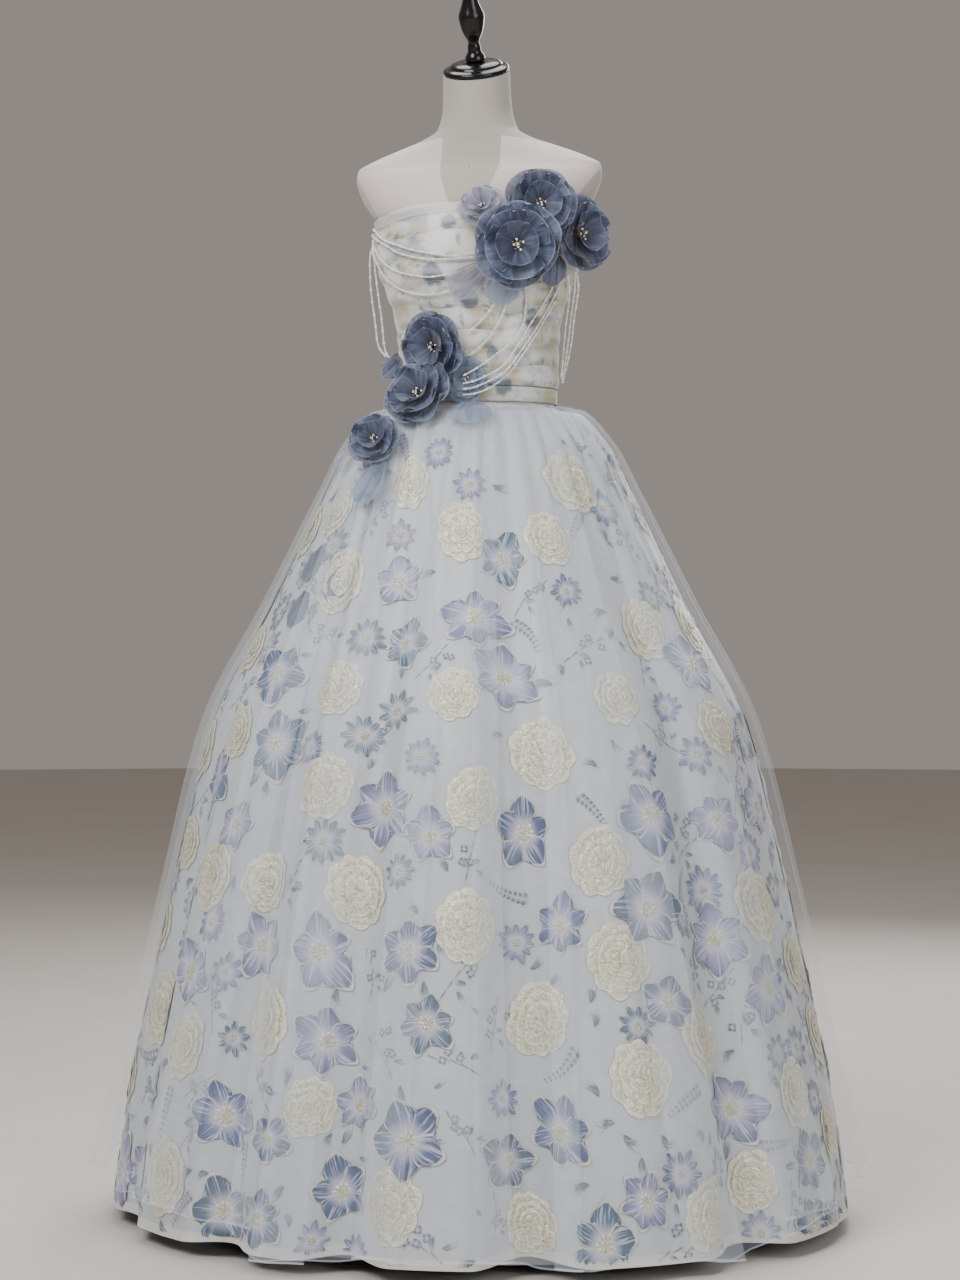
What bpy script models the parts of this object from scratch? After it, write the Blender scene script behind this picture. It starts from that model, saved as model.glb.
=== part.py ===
"""A strapless ball gown on a limbless dress form, in the pieces that its maker cuts and sews.

Metres, +Z up. The gown faces -Y, and the origin is on the floor, on the axis of the stand. Angles round
the body are in degrees from the front, positive towards +X.
"""

import math
from collections import namedtuple

import bmesh
import bpy
from mathutils import Matrix, Vector

# Seams, gaps and cloth
SEAM_GAP = 0.0003
SHEER_WALL = 0.0010
FLORAL_WALL = 0.0011
LINING_WALL = 0.0010
BODICE_WALL = 0.0015
BODICE_EASE = 0.0034
BAND_WALL = 0.0025
BAND_EASE = 0.0022

# Heights and hems
FORM_BOTTOM = 0.975
BAND_BOTTOM = 1.1685
BAND_TOP = 1.191
NECKLINE_FRONT = 1.446
NECKLINE_SIDE = 1.430
NECKLINE_BACK = 1.400

# Dress form: the half width, front and back depth of each level, and how far its middle leans back
FIGURE_COLUMNS = ("z", "half_width", "front", "back", "lean")
FIGURE_ROWS = (
    (FORM_BOTTOM, 0.150, 0.108, 0.118, 0.000),
    (1.010, 0.153, 0.112, 0.120, 0.000),
    (1.070, 0.143, 0.107, 0.110, 0.000),
    (1.125, 0.122, 0.096, 0.096, 0.000),
    (1.168, 0.1105, 0.088, 0.086, 0.000),
    (1.230, 0.1105, 0.090, 0.086, 0.000),
    (1.285, 0.1140, 0.098, 0.090, 0.000),
    (1.330, 0.127, 0.111, 0.095, 0.000),
    (1.365, 0.140, 0.120, 0.098, 0.000),
    (1.400, 0.145, 0.117, 0.101, 0.000),
    (1.430, 0.144, 0.106, 0.103, 0.000),
    (1.448, 0.157, 0.099, 0.101, 0.000),
    (1.470, 0.171, 0.088, 0.097, 0.000),
    (1.500, 0.181, 0.070, 0.086, 0.000),
    (1.514, 0.179, 0.058, 0.076, 0.000),
    (1.526, 0.158, 0.054, 0.070, 0.000),
    (1.541, 0.119, 0.052, 0.064, 0.000),
    (1.555, 0.080, 0.050, 0.060, -0.002),
    (1.568, 0.059, 0.049, 0.056, -0.004),
    (1.600, 0.050, 0.047, 0.051, -0.008),
    (1.650, 0.048, 0.046, 0.048, -0.014),
)
FIGURE_SIDES = 24
NECK_TILT = math.radians(25.0)
NECK_TILT_FROM = 1.568

# Skirt: the outer form from waistband to hem, the gaps between its layers, the swing of the gathers, and
# the share of each deep recess and of the uneven hem that a level has
SKIRT_COLUMNS = (
    "z", "half_width", "front", "back", "layer_gap", "under_gap", "lining_gap", "gather", "recess", "hem",
)
SKIRT_ROWS = (
    (1.1675, 0.1195, 0.0960, 0.0940, 0.0016, 0.0017, 0.0017, 0.0001, 0.00, 0.0),
    (1.1645, 0.1228, 0.0995, 0.0975, 0.0022, 0.0022, 0.0022, 0.0002, 0.00, 0.0),
    (1.1620, 0.1500, 0.1260, 0.1260, 0.0027, 0.0028, 0.0030, 0.0008, 0.00, 0.0),
    (1.1200, 0.1950, 0.1680, 0.1720, 0.0036, 0.0045, 0.0055, 0.0018, 0.02, 0.0),
    (1.0330, 0.2420, 0.2120, 0.2220, 0.0045, 0.0055, 0.0080, 0.0012, 0.08, 0.0),
    (0.8800, 0.3200, 0.2840, 0.3000, 0.0060, 0.0060, 0.0100, 0.0004, 0.25, 0.0),
    (0.7200, 0.4040, 0.3550, 0.3850, 0.0065, 0.0070, 0.0120, 0.0000, 0.45, 0.0),
    (0.5000, 0.4610, 0.4080, 0.4500, 0.0060, 0.0092, 0.0120, 0.0000, 0.65, 0.0),
    (0.2600, 0.5140, 0.4550, 0.5050, 0.0060, 0.0080, 0.0140, 0.0000, 0.82, 0.2),
    (0.0450, 0.5655, 0.5000, 0.5600, 0.0115, 0.0125, 0.0160, 0.0000, 1.00, 1.0),
)
LAST_ROW = len(SKIRT_ROWS) - 1
MIDDLE_ROW = 6
CLOTH_LEVELS = (0, 1, 2, 3, 5, 5.9, 7, 9)
LINING_LEVELS = (0, 1, 2, 3, 5, 5.9, 9)
SLOPE_STEP = 0.05
LEVEL_HALVINGS = 40
SIDE_SEAM = 90.0

# Deep recesses of the skirts: where each lies, its half width, and its depth at the hem
RECESSES = (
    (-60.0, 9.0, 0.020),
    (-31.0, 8.0, 0.030),
    (-10.0, 8.0, 0.042),
    (18.0, 9.0, 0.060),
    (55.0, 10.0, 0.042),
    (113.0, 10.0, 0.030),
    (137.0, 10.0, 0.035),
    (180.0, 10.0, 0.055),
    (223.0, 10.0, 0.035),
    (247.0, 9.0, 0.030),
)
OVERLAY_RECESS = 0.6

# Pleat folds of the overlay: faces -1 where the fold opens to smaller angles and 1 to larger ones, its
# angle at waist, middle and hem, how far the cloth is tucked under, and the rise of the hem there
Pleat = namedtuple("Pleat", "faces waist middle hem tuck rise")
FRONT_PLEATS = (
    Pleat(-1, -76.0, -72.0, -74.0, 8.0, 0.030),
    Pleat(-1, -58.0, -38.0, -47.0, 10.0, 0.026),
    Pleat(-1, -48.0, -26.0, -25.5, 3.0, 0.020),
    Pleat(-1, -42.0, -20.0, -21.5, 7.5, -0.020),
    Pleat(-1, -33.0, -3.0, -6.0, 6.0, -0.010),
    Pleat(1, 20.0, 14.0, 15.0, 5.0, -0.004),
    Pleat(-1, 30.0, 23.0, 21.0, 4.0, -0.015),
    Pleat(1, 50.0, 42.0, 49.0, 9.0, -0.018),
    Pleat(1, 76.0, 64.0, 71.0, 12.0, 0.020),
)
BACK_PLEATS = (
    Pleat(1, 102.0, 102.0, 102.0, 8.0, 0.028),
    Pleat(1, 124.0, 124.0, 124.0, 9.0, 0.012),
    Pleat(1, 148.0, 148.0, 148.0, 9.0, -0.006),
    Pleat(1, 172.0, 172.0, 172.0, 7.0, -0.012),
    Pleat(-1, 188.0, 188.0, 188.0, 7.0, -0.012),
    Pleat(-1, 212.0, 212.0, 212.0, 9.0, -0.006),
    Pleat(-1, 236.0, 236.0, 236.0, 9.0, 0.012),
    Pleat(-1, 258.0, 258.0, 258.0, 8.0, 0.028),
)
TUCK_AT_WAIST = 0.6
PANEL_STEP = 11.0

# Floral skirt and lining
FLORAL_COLUMNS = 40
FLORAL_HEM_DROP = 0.016
FLORAL_RECESS_RISE = 0.35
LINING_COLUMNS = 24
LINING_CLEAR = 0.062
LINING_WAVE = 0.005
LINING_WAVES = 8
LINING_HEM_DROP = 0.006

# Draped folds of the bodice
BODICE_FOLDS = 8
FOLD_SHAPE = (0.0, 1.0)
FOLD_RISE = 0.0028
FOLD_SAG = 0.020
BODICE_INNER_ROWS = 9
FRONT_COLUMNS = 16
BACK_COLUMNS = 8
BAND_COLUMNS = 32
CLOTH_SMOOTH = 50.0
BODICE_SMOOTH = 70.0

# Stand, neck cap and finial
POLE_RADIUS = 0.016
POLE_SIDES = 16
BASE_SIDES = 32
CAP_SIDES = 24
FINIAL_SIDES = 12
TURNED_SMOOTH = 40.0
BASE_PROFILE = ((0.0, 0.0), (0.200, 0.0), (0.200, 0.010), (0.190, 0.018), (0.060, 0.024), (0.0, 0.024))
CAP_PROFILE = (
    (0.0, 0.0), (0.0465, 0.0), (0.0480, 0.003), (0.0470, 0.007), (0.0380, 0.009), (0.0365, 0.013),
    (0.0260, 0.016), (0.0, 0.016),
)
FINIAL_PROFILE = (
    (0.0, 0.0), (0.0150, 0.0), (0.0140, 0.008), (0.0095, 0.014), (0.0095, 0.022), (0.0070, 0.028),
    (0.0150, 0.042), (0.0178, 0.056), (0.0195, 0.066), (0.0140, 0.078), (0.0085, 0.096), (0.0075, 0.108),
    (0.0095, 0.116), (0.0065, 0.125), (0.0, 0.128),
)

# Fabric flowers: rings of one flower over two rows of petals, each with its reach and its height as
# shares of the flower's radius, and the row of petals whose notches it has
PETAL_RINGS = (
    (0.10, 0.17, "round"),
    (0.58, 0.42, "inner"),
    (0.61, 0.385, "inner"),
    (0.20, 0.10, "round"),
    (0.62, 0.185, "outer"),
    (1.00, 0.310, "outer"),
    (1.01, 0.272, "outer"),
    (0.62, 0.140, "outer"),
    (0.16, 0.02, "round"),
)
STAMEN_HEIGHT = 0.20
PETAL_NOTCH = 0.80
COLUMNS_PER_PETAL = 3
FRAME_STEP = 0.002

# Where each flower is sewn: its middle, how far it stands off, its size, its cupping, and how it turns
# and tilts
Flower = namedtuple("Flower", "name carrier angle z lift radius cup petals turn side up colour")
FLOWERS = (
    Flower("flower_neck_lilac", "bodice", 11.0, 1.436, 0.007, 0.035, 1.0, 5, 20.0, -10.0, 12.0, "lilac"),
    Flower("flower_neck_side", "bodice", 73.0, 1.407, 0.006, 0.050, 1.0, 6, 10.0, -10.0, 0.0, "slate"),
    Flower("flower_neck_top", "bodice", 38.0, 1.441, 0.020, 0.046, 1.0, 5, 50.0, -5.0, 8.0, "slate"),
    Flower("flower_neck_front", "bodice", 28.0, 1.381, 0.036, 0.053, 1.0, 6, 0.0, -14.0, -8.0, "slate"),
    Flower("flower_waist_top", "bodice", -19.0, 1.246, 0.006, 0.046, 1.0, 6, 15.0, -4.0, 0.0, "slate"),
    Flower("flower_waist_low", "bodice", -22.0, 1.173, 0.037, 0.046, 1.0, 6, 40.0, 0.0, 28.0, "slate"),
    Flower("flower_hip", "skirt", -33.0, 1.106, 0.007, 0.035, 1.0, 5, 0.0, 20.0, -8.0, "slate"),
    Flower("flower_waist_pale", "bodice", 1.0, 1.200, 0.004, 0.032, 0.4, 5, 30.0, 0.0, 0.0, "pale"),
)

# Loose petals: the cloth each lies on, where its root is, its length and width, how it turns from
# straight down, how far its root and its tip stand off, and how much its edges are cupped
Petal = namedtuple("Petal", "name carrier angle z length width turn root tip cup colour")
PETALS = (
    Petal("petal_neck_left", "bodice", 13.0, 1.354, 0.056, 0.040, -42.0, 0.0110, 0.0120, 0.0012, "lilac"),
    Petal("petal_neck_middle", "bodice", 25.0, 1.350, 0.050, 0.046, 0.0, 0.0110, 0.0125, 0.0012, "pale"),
    Petal("petal_neck_right", "bodice", 54.0, 1.371, 0.042, 0.044, 15.0, 0.0110, 0.0130, 0.0012, "slate"),
    Petal("petal_waist_left", "bodice", -58.0, 1.238, 0.040, 0.036, -50.0, 0.0070, 0.0260, 0.0012, "slate"),
    Petal("petal_waist_back", "bodice", -62.0, 1.222, 0.032, 0.030, -95.0, 0.0060, 0.0160, 0.0012, "slate"),
    Petal("petal_waist_pale", "skirt", 6.0, 1.1615, 0.032, 0.046, 5.0, 0.0030, 0.0040, 0.0012, "pale"),
    Petal("petal_hip_low", "skirt", -27.0, 1.078, 0.064, 0.048, -10.0, 0.0030, 0.0070, 0.0012, "pale"),
    Petal("petal_hip_left", "skirt", -48.0, 1.100, 0.036, 0.030, -60.0, 0.0030, 0.0060, 0.0012, "lilac"),
    Petal("petal_veiled_high", "floral", -46.0, 0.968, 0.052, 0.040, -20.0, 0.0016, 0.0016, 0.0004, "slate"),
    Petal("petal_veiled_right", "floral", -33.0, 0.940, 0.050, 0.034, -4.0, 0.0020, 0.0020, 0.0, "slate"),
    Petal("petal_veiled_low", "floral", -45.0, 0.905, 0.050, 0.040, -8.0, 0.0016, 0.0016, 0.0004, "slate"),
)
PETAL_WALL = 0.0010
PETAL_SHAPE = ((0.0, 0.40), (0.35, 0.88), (0.70, 1.00), (1.0, 0.45))
PETAL_COLUMNS = (-1.0, 0.0, 1.0)

# Bead strands: each route's points as angle, height and distance out from the bodice
STRAND_RADIUS = 0.0014
STRAND_STEP = 0.024
ROUTE_STEPS = 16
STRANDS = {
    "swag_1": (
        (-86, 1.428, 0.0060), (-67, 1.4205, 0.0065), (-51, 1.402, 0.0065), (-37, 1.390, 0.0065),
        (-28, 1.382, 0.0065), (-15, 1.374, 0.0065), (-4, 1.3695, 0.0065), (5, 1.3715, 0.0065),
        (14, 1.377, 0.0065),
    ),
    "swag_2": (
        (-86, 1.421, 0.0060), (-69, 1.4115, 0.0065), (-47, 1.3915, 0.0065), (-37, 1.379, 0.0065),
        (-23, 1.369, 0.0065), (-11, 1.3655, 0.0065), (0, 1.3655, 0.0065), (9, 1.3675, 0.0065),
        (15, 1.370, 0.0065),
    ),
    "swag_3": (
        (-86, 1.413, 0.0060), (-66, 1.3965, 0.0065), (-54, 1.371, 0.0065), (-40, 1.353, 0.0065),
        (-22, 1.343, 0.0065), (-12, 1.343, 0.0065), (0, 1.347, 0.0065), (10, 1.357, 0.0065),
        (15, 1.362, 0.0065),
    ),
    "swag_4": (
        (-86, 1.405, 0.0060), (-68, 1.384, 0.0065), (-58, 1.354, 0.0065), (-49, 1.336, 0.0065),
        (-35, 1.323, 0.0065), (-21, 1.318, 0.0065), (-7, 1.322, 0.0065), (4, 1.332, 0.0065),
        (15, 1.346, 0.0065), (20, 1.356, 0.0065),
    ),
    "loop_left_1": (
        (-95, 1.424, 0.006), (-92, 1.405, 0.010), (-90, 1.382, 0.014), (-88, 1.339, 0.024),
        (-86, 1.295, 0.032), (-82, 1.258, 0.030), (-73, 1.240, 0.020),
    ),
    "loop_left_2": (
        (-99, 1.419, 0.006), (-96, 1.400, 0.009), (-94, 1.379, 0.010), (-92, 1.336, 0.017),
        (-90, 1.292, 0.024), (-86, 1.254, 0.022), (-79, 1.238, 0.014),
    ),
    "loop_right_1": (
        (79, 1.358, 0.006), (90, 1.335, 0.008), (97, 1.308, 0.012), (98, 1.264, 0.014),
        (97, 1.232, 0.011), (96, 1.206, 0.006),
    ),
    "loop_right_2": (
        (85, 1.352, 0.007), (96, 1.334, 0.012), (102, 1.293, 0.019), (103, 1.262, 0.019),
        (102, 1.230, 0.014), (101, 1.202, 0.007),
    ),
    "loop_right_3": (
        (72, 1.350, 0.006), (83, 1.322, 0.008), (89, 1.278, 0.010), (91, 1.242, 0.009), (91, 1.209, 0.006),
    ),
    "sweep_1": (
        (24, 1.314, 0.006), (21, 1.305, 0.006), (16, 1.290, 0.006), (10, 1.276, 0.006), (3, 1.264, 0.006),
    ),
    "sweep_2": (
        (31, 1.336, 0.006), (29, 1.309, 0.006), (24, 1.279, 0.006), (15, 1.252, 0.006),
        (5.7, 1.2356, 0.006), (0, 1.231, 0.006),
    ),
    "sweep_3": (
        (39, 1.340, 0.006), (42, 1.3035, 0.006), (41, 1.276, 0.006), (30.5, 1.2485, 0.006),
        (21, 1.232, 0.008), (10, 1.215, 0.0125), (0, 1.203, 0.0125),
    ),
    "sweep_4": (
        (62, 1.341, 0.006), (57.5, 1.3126, 0.006), (48, 1.2807, 0.006), (37.5, 1.2476, 0.006),
        (28, 1.2215, 0.0100), (20, 1.2085, 0.0175), (8, 1.196, 0.0140), (0, 1.192, 0.0130),
    ),
    "sweep_5": (
        (67, 1.336, 0.006), (62.5, 1.3065, 0.006), (53, 1.2743, 0.006), (41, 1.242, 0.006),
        (30, 1.2145, 0.0100), (21, 1.200, 0.0175), (8, 1.187, 0.0140), (0, 1.184, 0.0130),
    ),
    "sweep_6": (
        (67, 1.312, 0.006), (60.5, 1.288, 0.006), (49, 1.2545, 0.006), (39, 1.228, 0.006),
        (30, 1.206, 0.0075), (18, 1.187, 0.0125), (8, 1.178, 0.0125), (0, 1.176, 0.0125),
    ),
}

COLOURS = {
    "form": ((0.72, 0.66, 0.62), 0.85, 0.0),
    "turned": ((0.010, 0.010, 0.012), 0.25, 0.0),
    "pole": ((0.55, 0.55, 0.56), 0.30, 1.0),
    "base": ((0.030, 0.030, 0.034), 0.45, 0.0),
    "bodice": ((0.70, 0.70, 0.64), 0.70, 0.0),
    "band": ((0.66, 0.66, 0.62), 0.70, 0.0),
    "lining": ((0.66, 0.69, 0.73), 0.80, 0.0),
    "floral": ((0.56, 0.60, 0.63), 0.55, 0.0),
    "overlay": ((0.70, 0.75, 0.80), 0.60, 0.0),
    "slate": ((0.10, 0.14, 0.22), 0.70, 0.0),
    "lilac": ((0.30, 0.30, 0.38), 0.70, 0.0),
    "pale": ((0.24, 0.32, 0.42), 0.70, 0.0),
    "pearl": ((0.80, 0.78, 0.74), 0.25, 0.0),
}


class Table:
    """Rows of named columns, read between the rows along smooth curves that never overshoot."""

    def __init__(self, columns, rows, key=None):
        self.keys = [row[columns.index(key)] for row in rows] if key else list(range(len(rows)))
        self.columns = {name: [row[i] for row in rows] for i, name in enumerate(columns)}
        self.slopes = {name: self.slopes_of(values) for name, values in self.columns.items()}

    def slopes_of(self, values):
        steps = [b - a for a, b in zip(self.keys, self.keys[1:])]
        rates = [(b - a) / step for a, b, step in zip(values, values[1:], steps)]
        slopes = [rates[0]]
        for before, after in zip(rates, rates[1:]):
            level = before * after <= 0.0
            slopes.append(0.0 if level else 2.0 * before * after / (before + after))
        return slopes + [rates[-1]]

    def at(self, name, key):
        values = self.columns[name]
        slopes = self.slopes[name]
        last = len(self.keys) - 2
        i = max(0, min(last, sum(1 for known in self.keys if known <= key) - 1))
        step = self.keys[i + 1] - self.keys[i]
        t = (key - self.keys[i]) / step
        start = values[i] * (1 + 2 * t) * (1 - t) ** 2 + slopes[i] * step * t * (1 - t) ** 2
        end = values[i + 1] * t * t * (3 - 2 * t) + slopes[i + 1] * step * t * t * (t - 1)
        return start + end


FIGURE = Table(FIGURE_COLUMNS, FIGURE_ROWS, "z")
SKIRT = Table(SKIRT_COLUMNS, SKIRT_ROWS)


def mix(a, b, share):
    return a + (b - a) * share


def round_body(angle, half_width, front, back):
    """Point of an oval round the body, whose front and back halves differ in depth."""
    turn = math.radians(angle)
    depth = front if math.cos(turn) > 0.0 else back
    return half_width * math.sin(turn), -depth * math.cos(turn)


def figure_point(angle, z, out=0.0):
    """Point of the dress form's surface, moved out by a distance."""
    half_width = FIGURE.at("half_width", z) + out
    front = FIGURE.at("front", z) + out
    back = FIGURE.at("back", z) + out
    x, y = round_body(angle, half_width, front, back)
    y += FIGURE.at("lean", z)
    tilt = max(0.0, z - NECK_TILT_FROM) / (FIGURE_ROWS[-1][0] - NECK_TILT_FROM)
    return Vector((x, y, z + tilt * math.tan(NECK_TILT) * (y - FIGURE.at("lean", z))))


def neckline(angle):
    c = math.cos(math.radians(angle))
    return mix(NECKLINE_SIDE, NECKLINE_FRONT if c > 0.0 else NECKLINE_BACK, c * c)


def half_gap(radius):
    """Half a seam's gap as an angle at a radius."""
    return math.degrees(0.5 * SEAM_GAP / radius)


# Skirt surfaces


def outward(down):
    """The skirt form's outward direction at a level, as its radial and upward parts."""
    low, high = max(0.0, down - SLOPE_STEP), min(LAST_ROW, down + SLOPE_STEP)
    radial = SKIRT.at("half_width", high) - SKIRT.at("half_width", low)
    upward = SKIRT.at("z", high) - SKIRT.at("z", low)
    length = math.hypot(radial, upward)
    return -upward / length, radial / length


def skirt_point(down, angle, inset, rise=0.0):
    """Point of the skirt's outer form at a level, moved in by an inset, with its hem raised."""
    radial, upward = outward(down)
    sizes = (SKIRT.at(name, down) - inset * radial for name in ("half_width", "front", "back"))
    x, y = round_body(angle, *sizes)
    return Vector((x, y, SKIRT.at("z", down) - inset * upward + rise * SKIRT.at("hem", down)))


def level_of(z):
    """The level of the skirt's outer form that lies at a height."""
    low, high = 0.0, float(LAST_ROW)
    for _ in range(LEVEL_HALVINGS):
        middle = 0.5 * (low + high)
        low, high = (middle, high) if SKIRT.at("z", middle) > z else (low, middle)
    return 0.5 * (low + high)


def recess(angle, down):
    """How far the deep recesses draw the cloth in."""
    depth = 0.0
    for centre, half_width, deepest in RECESSES:
        away = abs((angle - centre + 180.0) % 360.0 - 180.0) / half_width
        if away < 1.0:
            depth += deepest * math.cos(0.5 * math.pi * away) ** 2
    return depth * SKIRT.at("recess", down)


def waist_share(down):
    """How far a level's pleats have closed towards the waist, from the middle level up."""
    width, middle, waist = (SKIRT.at("half_width", row) for row in (down, MIDDLE_ROW, 0))
    return max(0.0, (middle / width - 1.0) / (middle / waist - 1.0))


def hem_share(down):
    width, middle, hem = (SKIRT.at("half_width", row) for row in (down, MIDDLE_ROW, LAST_ROW))
    return max(0.0, (width - middle) / (hem - middle))


def pleat_angle(pleat, down):
    to_waist = (pleat.waist - pleat.middle) * waist_share(down)
    to_hem = (pleat.hem - pleat.middle) * hem_share(down)
    return pleat.middle + to_waist + to_hem


def shifted(pleat, turn):
    """The same pleat, counted a full turn on or back."""
    return pleat._replace(waist=pleat.waist + turn, middle=pleat.middle + turn, hem=pleat.hem + turn)


def fold_path(pleat, down):
    """Angle, layer and hem rise along the cloth where it folds back and under, with rising angle."""
    angle = pleat_angle(pleat, down)
    tuck = pleat.tuck * mix(1.0, TUCK_AT_WAIST, waist_share(down))
    turn = math.degrees(0.5 * SKIRT.at("layer_gap", down) / SKIRT.at("half_width", down))
    over = [(0.0, 0.0), (-turn, 0.5), (0.0, 1.0)]
    under = [(tuck, 1.0), (tuck, 2.0), (0.5 * tuck, 2.0), (-3.0 * turn, 2.0)]
    path = over + under
    if pleat.faces < 0:
        return [(angle + step, layer, pleat.rise) for step, layer in reversed(path)]
    return [(angle - step, layer, pleat.rise) for step, layer in path]


def steps_between(before, after):
    """How many points a flat panel needs between two pleats."""
    width = after.hem - before.hem - before.tuck * (before.faces < 0) - after.tuck * (after.faces > 0)
    return max(1, round(width / PANEL_STEP))


def point_between(start, end, share):
    return tuple(mix(a, b, share) for a, b in zip(start, end))


def overlay_path(pleats, before, after, first, last, down):
    """The cloth's path from one side seam to the other at a level."""
    before_end = fold_path(before, down)[-1]
    after_start = fold_path(after, down)[0]
    folds = [fold_path(pleat, down) for pleat in pleats]
    gap = half_gap(SKIRT.at("half_width", down))
    share = (first + gap - before_end[0]) / (folds[0][0][0] - before_end[0])
    path = [point_between(before_end, folds[0][0], share)]
    counts = [1] + [steps_between(a, b) for a, b in zip(pleats, pleats[1:])]
    for fold, count in zip(folds, counts):
        start = path[-1]
        path += [point_between(start, fold[0], i / (count + 1)) for i in range(1, count + 1)]
        path += fold
    share = (last - gap - path[-1][0]) / (after_start[0] - path[-1][0])
    seam = point_between(path[-1], after_start, share)
    return path + [point_between(path[-1], seam, 0.5), seam]


def overlay_inset(angle, layer, down):
    drawn_in = OVERLAY_RECESS * recess(angle, down) * (0.5 * layer) ** 2
    return layer * SKIRT.at("layer_gap", down) + drawn_in


def floral_inset(angle, down):
    return 2.0 * SKIRT.at("layer_gap", down) + SKIRT.at("under_gap", down) + recess(angle, down)


def floral_point(angle, down, out=0.0):
    """Point of the floral skirt, moved out by a distance."""
    rise = FLORAL_RECESS_RISE * recess(angle, LAST_ROW) - FLORAL_HEM_DROP
    return skirt_point(down, angle, floral_inset(angle, down) - out, rise)


def lining_point(angle, down):
    clear = LINING_CLEAR * SKIRT.at("recess", down)
    wave = LINING_WAVE * SKIRT.at("recess", down) * math.cos(math.radians(LINING_WAVES * 2 * angle))
    gaps = 2.0 * SKIRT.at("layer_gap", down) + SKIRT.at("under_gap", down) + SKIRT.at("lining_gap", down)
    return skirt_point(down, angle, gaps + clear + wave, -LINING_HEM_DROP)


# Meshes


def finish(mesh_object, colour, smooth_angle=CLOTH_SMOOTH):
    """Colour an object and shade its round stretches smooth."""
    rgb, roughness, metallic = COLOURS[colour]
    material = bpy.data.materials.new(mesh_object.name)
    material.use_nodes = True
    shader = material.node_tree.nodes["Principled BSDF"]
    shader.inputs["Base Color"].default_value = (*rgb, 1.0)
    shader.inputs["Roughness"].default_value = roughness
    shader.inputs["Metallic"].default_value = metallic
    mesh_object.data.materials.append(material)
    if mesh_object.type == "MESH":
        mesh_object.data.shade_smooth()
        mesh_object.data.set_sharp_from_angle(angle=math.radians(smooth_angle))
    return mesh_object


def add_object(name, data):
    added = bpy.data.objects.new(name, data)
    bpy.context.scene.collection.objects.link(added)
    return added


def mesh_of(name, points, faces):
    mesh = bpy.data.meshes.new(name)
    mesh.from_pydata(points, [], faces)
    return mesh


def grid_faces(rows, columns, first=0, around=False, inward=False):
    """Quads of a grid whose rows run down and whose columns run towards rising angles."""
    faces = []
    for r in range(rows - 1):
        for c in range(columns if around else columns - 1):
            a = first + r * columns + c
            b = first + r * columns + (c + 1) % columns
            quad = (a, a + columns, b + columns, b)
            faces.append(quad[::-1] if inward else quad)
    return faces


def cloth(name, grid, thickness, colour, around=False):
    """A wall of cloth, half its thickness to each side of a grid of points."""
    points = [point for row in grid for point in row]
    faces = grid_faces(len(grid), len(grid[0]), around=around)
    wall = add_object(name, mesh_of(name, points, faces))
    solidify = wall.modifiers.new("thickness", "SOLIDIFY")
    solidify.thickness = thickness
    solidify.offset = 0.0
    return finish(wall, colour)


def lofted(name, rings, colour, top=None, bottom=None):
    """A closed solid through rings from top to bottom, ended by flat faces or by a middle point."""
    count = len(rings[0])
    points = [point for ring in rings for point in ring]
    faces = grid_faces(len(rings), count, around=True)
    last = len(points) - count
    ends = ((top, 0, False), (bottom, last, True))
    for middle, start, below in ends:
        ring = [start + i for i in range(count)]
        if middle is None:
            faces.append(tuple(reversed(ring)) if below else tuple(ring))
            continue
        points.append(middle)
        for a, b in zip(ring, ring[1:] + ring[:1]):
            faces.append((b, a, len(points) - 1) if below else (a, b, len(points) - 1))
    return finish(add_object(name, mesh_of(name, points, faces)), colour)


def turned(name, profile, sides, colour, place=None):
    """A turned solid from its profile of radius and height, from the bottom up."""
    body = bmesh.new()
    chain = [body.verts.new((radius, 0.0, height)) for radius, height in profile]
    edges = [body.edges.new(pair) for pair in zip(chain, chain[1:])]
    bmesh.ops.spin(
        body, geom=chain + edges, cent=(0, 0, 0), axis=(0, 0, 1), angle=2 * math.pi, steps=sides,
        use_merge=True,
    )
    bmesh.ops.remove_doubles(body, verts=body.verts[:], dist=1e-6)
    bmesh.ops.recalc_face_normals(body, faces=body.faces[:])
    mesh = bpy.data.meshes.new(name)
    body.to_mesh(mesh)
    body.free()
    solid = add_object(name, mesh)
    if place is not None:
        mesh.transform(place)
    return finish(solid, colour, TURNED_SMOOTH)


# Dress form and stand


def build_form():
    top = FIGURE_ROWS[-1][0]
    levels = [row[0] for row in reversed(FIGURE_ROWS)]
    angles = [360.0 * i / FIGURE_SIDES for i in range(FIGURE_SIDES)]
    rings = [[figure_point(angle, z) for angle in angles] for z in levels]
    lofted("form_torso", rings, "form")
    seat = Matrix.Translation((0.0, FIGURE.at("lean", top), top))
    lean = seat @ Matrix.Rotation(NECK_TILT, 4, "X")
    turned("neck_cap", CAP_PROFILE, CAP_SIDES, "turned", lean @ Matrix.Translation((0, 0, SEAM_GAP)))
    above_cap = CAP_PROFILE[-1][1] + 2 * SEAM_GAP
    turned("finial", FINIAL_PROFILE, FINIAL_SIDES, "turned", lean @ Matrix.Translation((0, 0, above_cap)))


def build_stand():
    turned("stand_base", BASE_PROFILE, BASE_SIDES, "base")
    low = BASE_PROFILE[-1][1] + SEAM_GAP
    high = FORM_BOTTOM - SEAM_GAP
    profile = ((0.0, low), (POLE_RADIUS, low), (POLE_RADIUS, high), (0.0, high))
    turned("stand_pole", profile, POLE_SIDES, "pole")


# Bodice and waistband


def bodice_height(angle, share):
    """Height of a draped fold line: straight at the waist, sagging between, and on the neckline above."""
    c = max(0.0, math.cos(math.radians(angle)))
    sag = FOLD_SAG * math.sin(math.pi * share) * c * c
    return mix(BAND_TOP + SEAM_GAP, neckline(angle), share) - sag


def bodice_point(angle, share, rise=0.0):
    return figure_point(angle, bodice_height(angle, share), BODICE_EASE + BODICE_WALL + rise)


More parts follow.
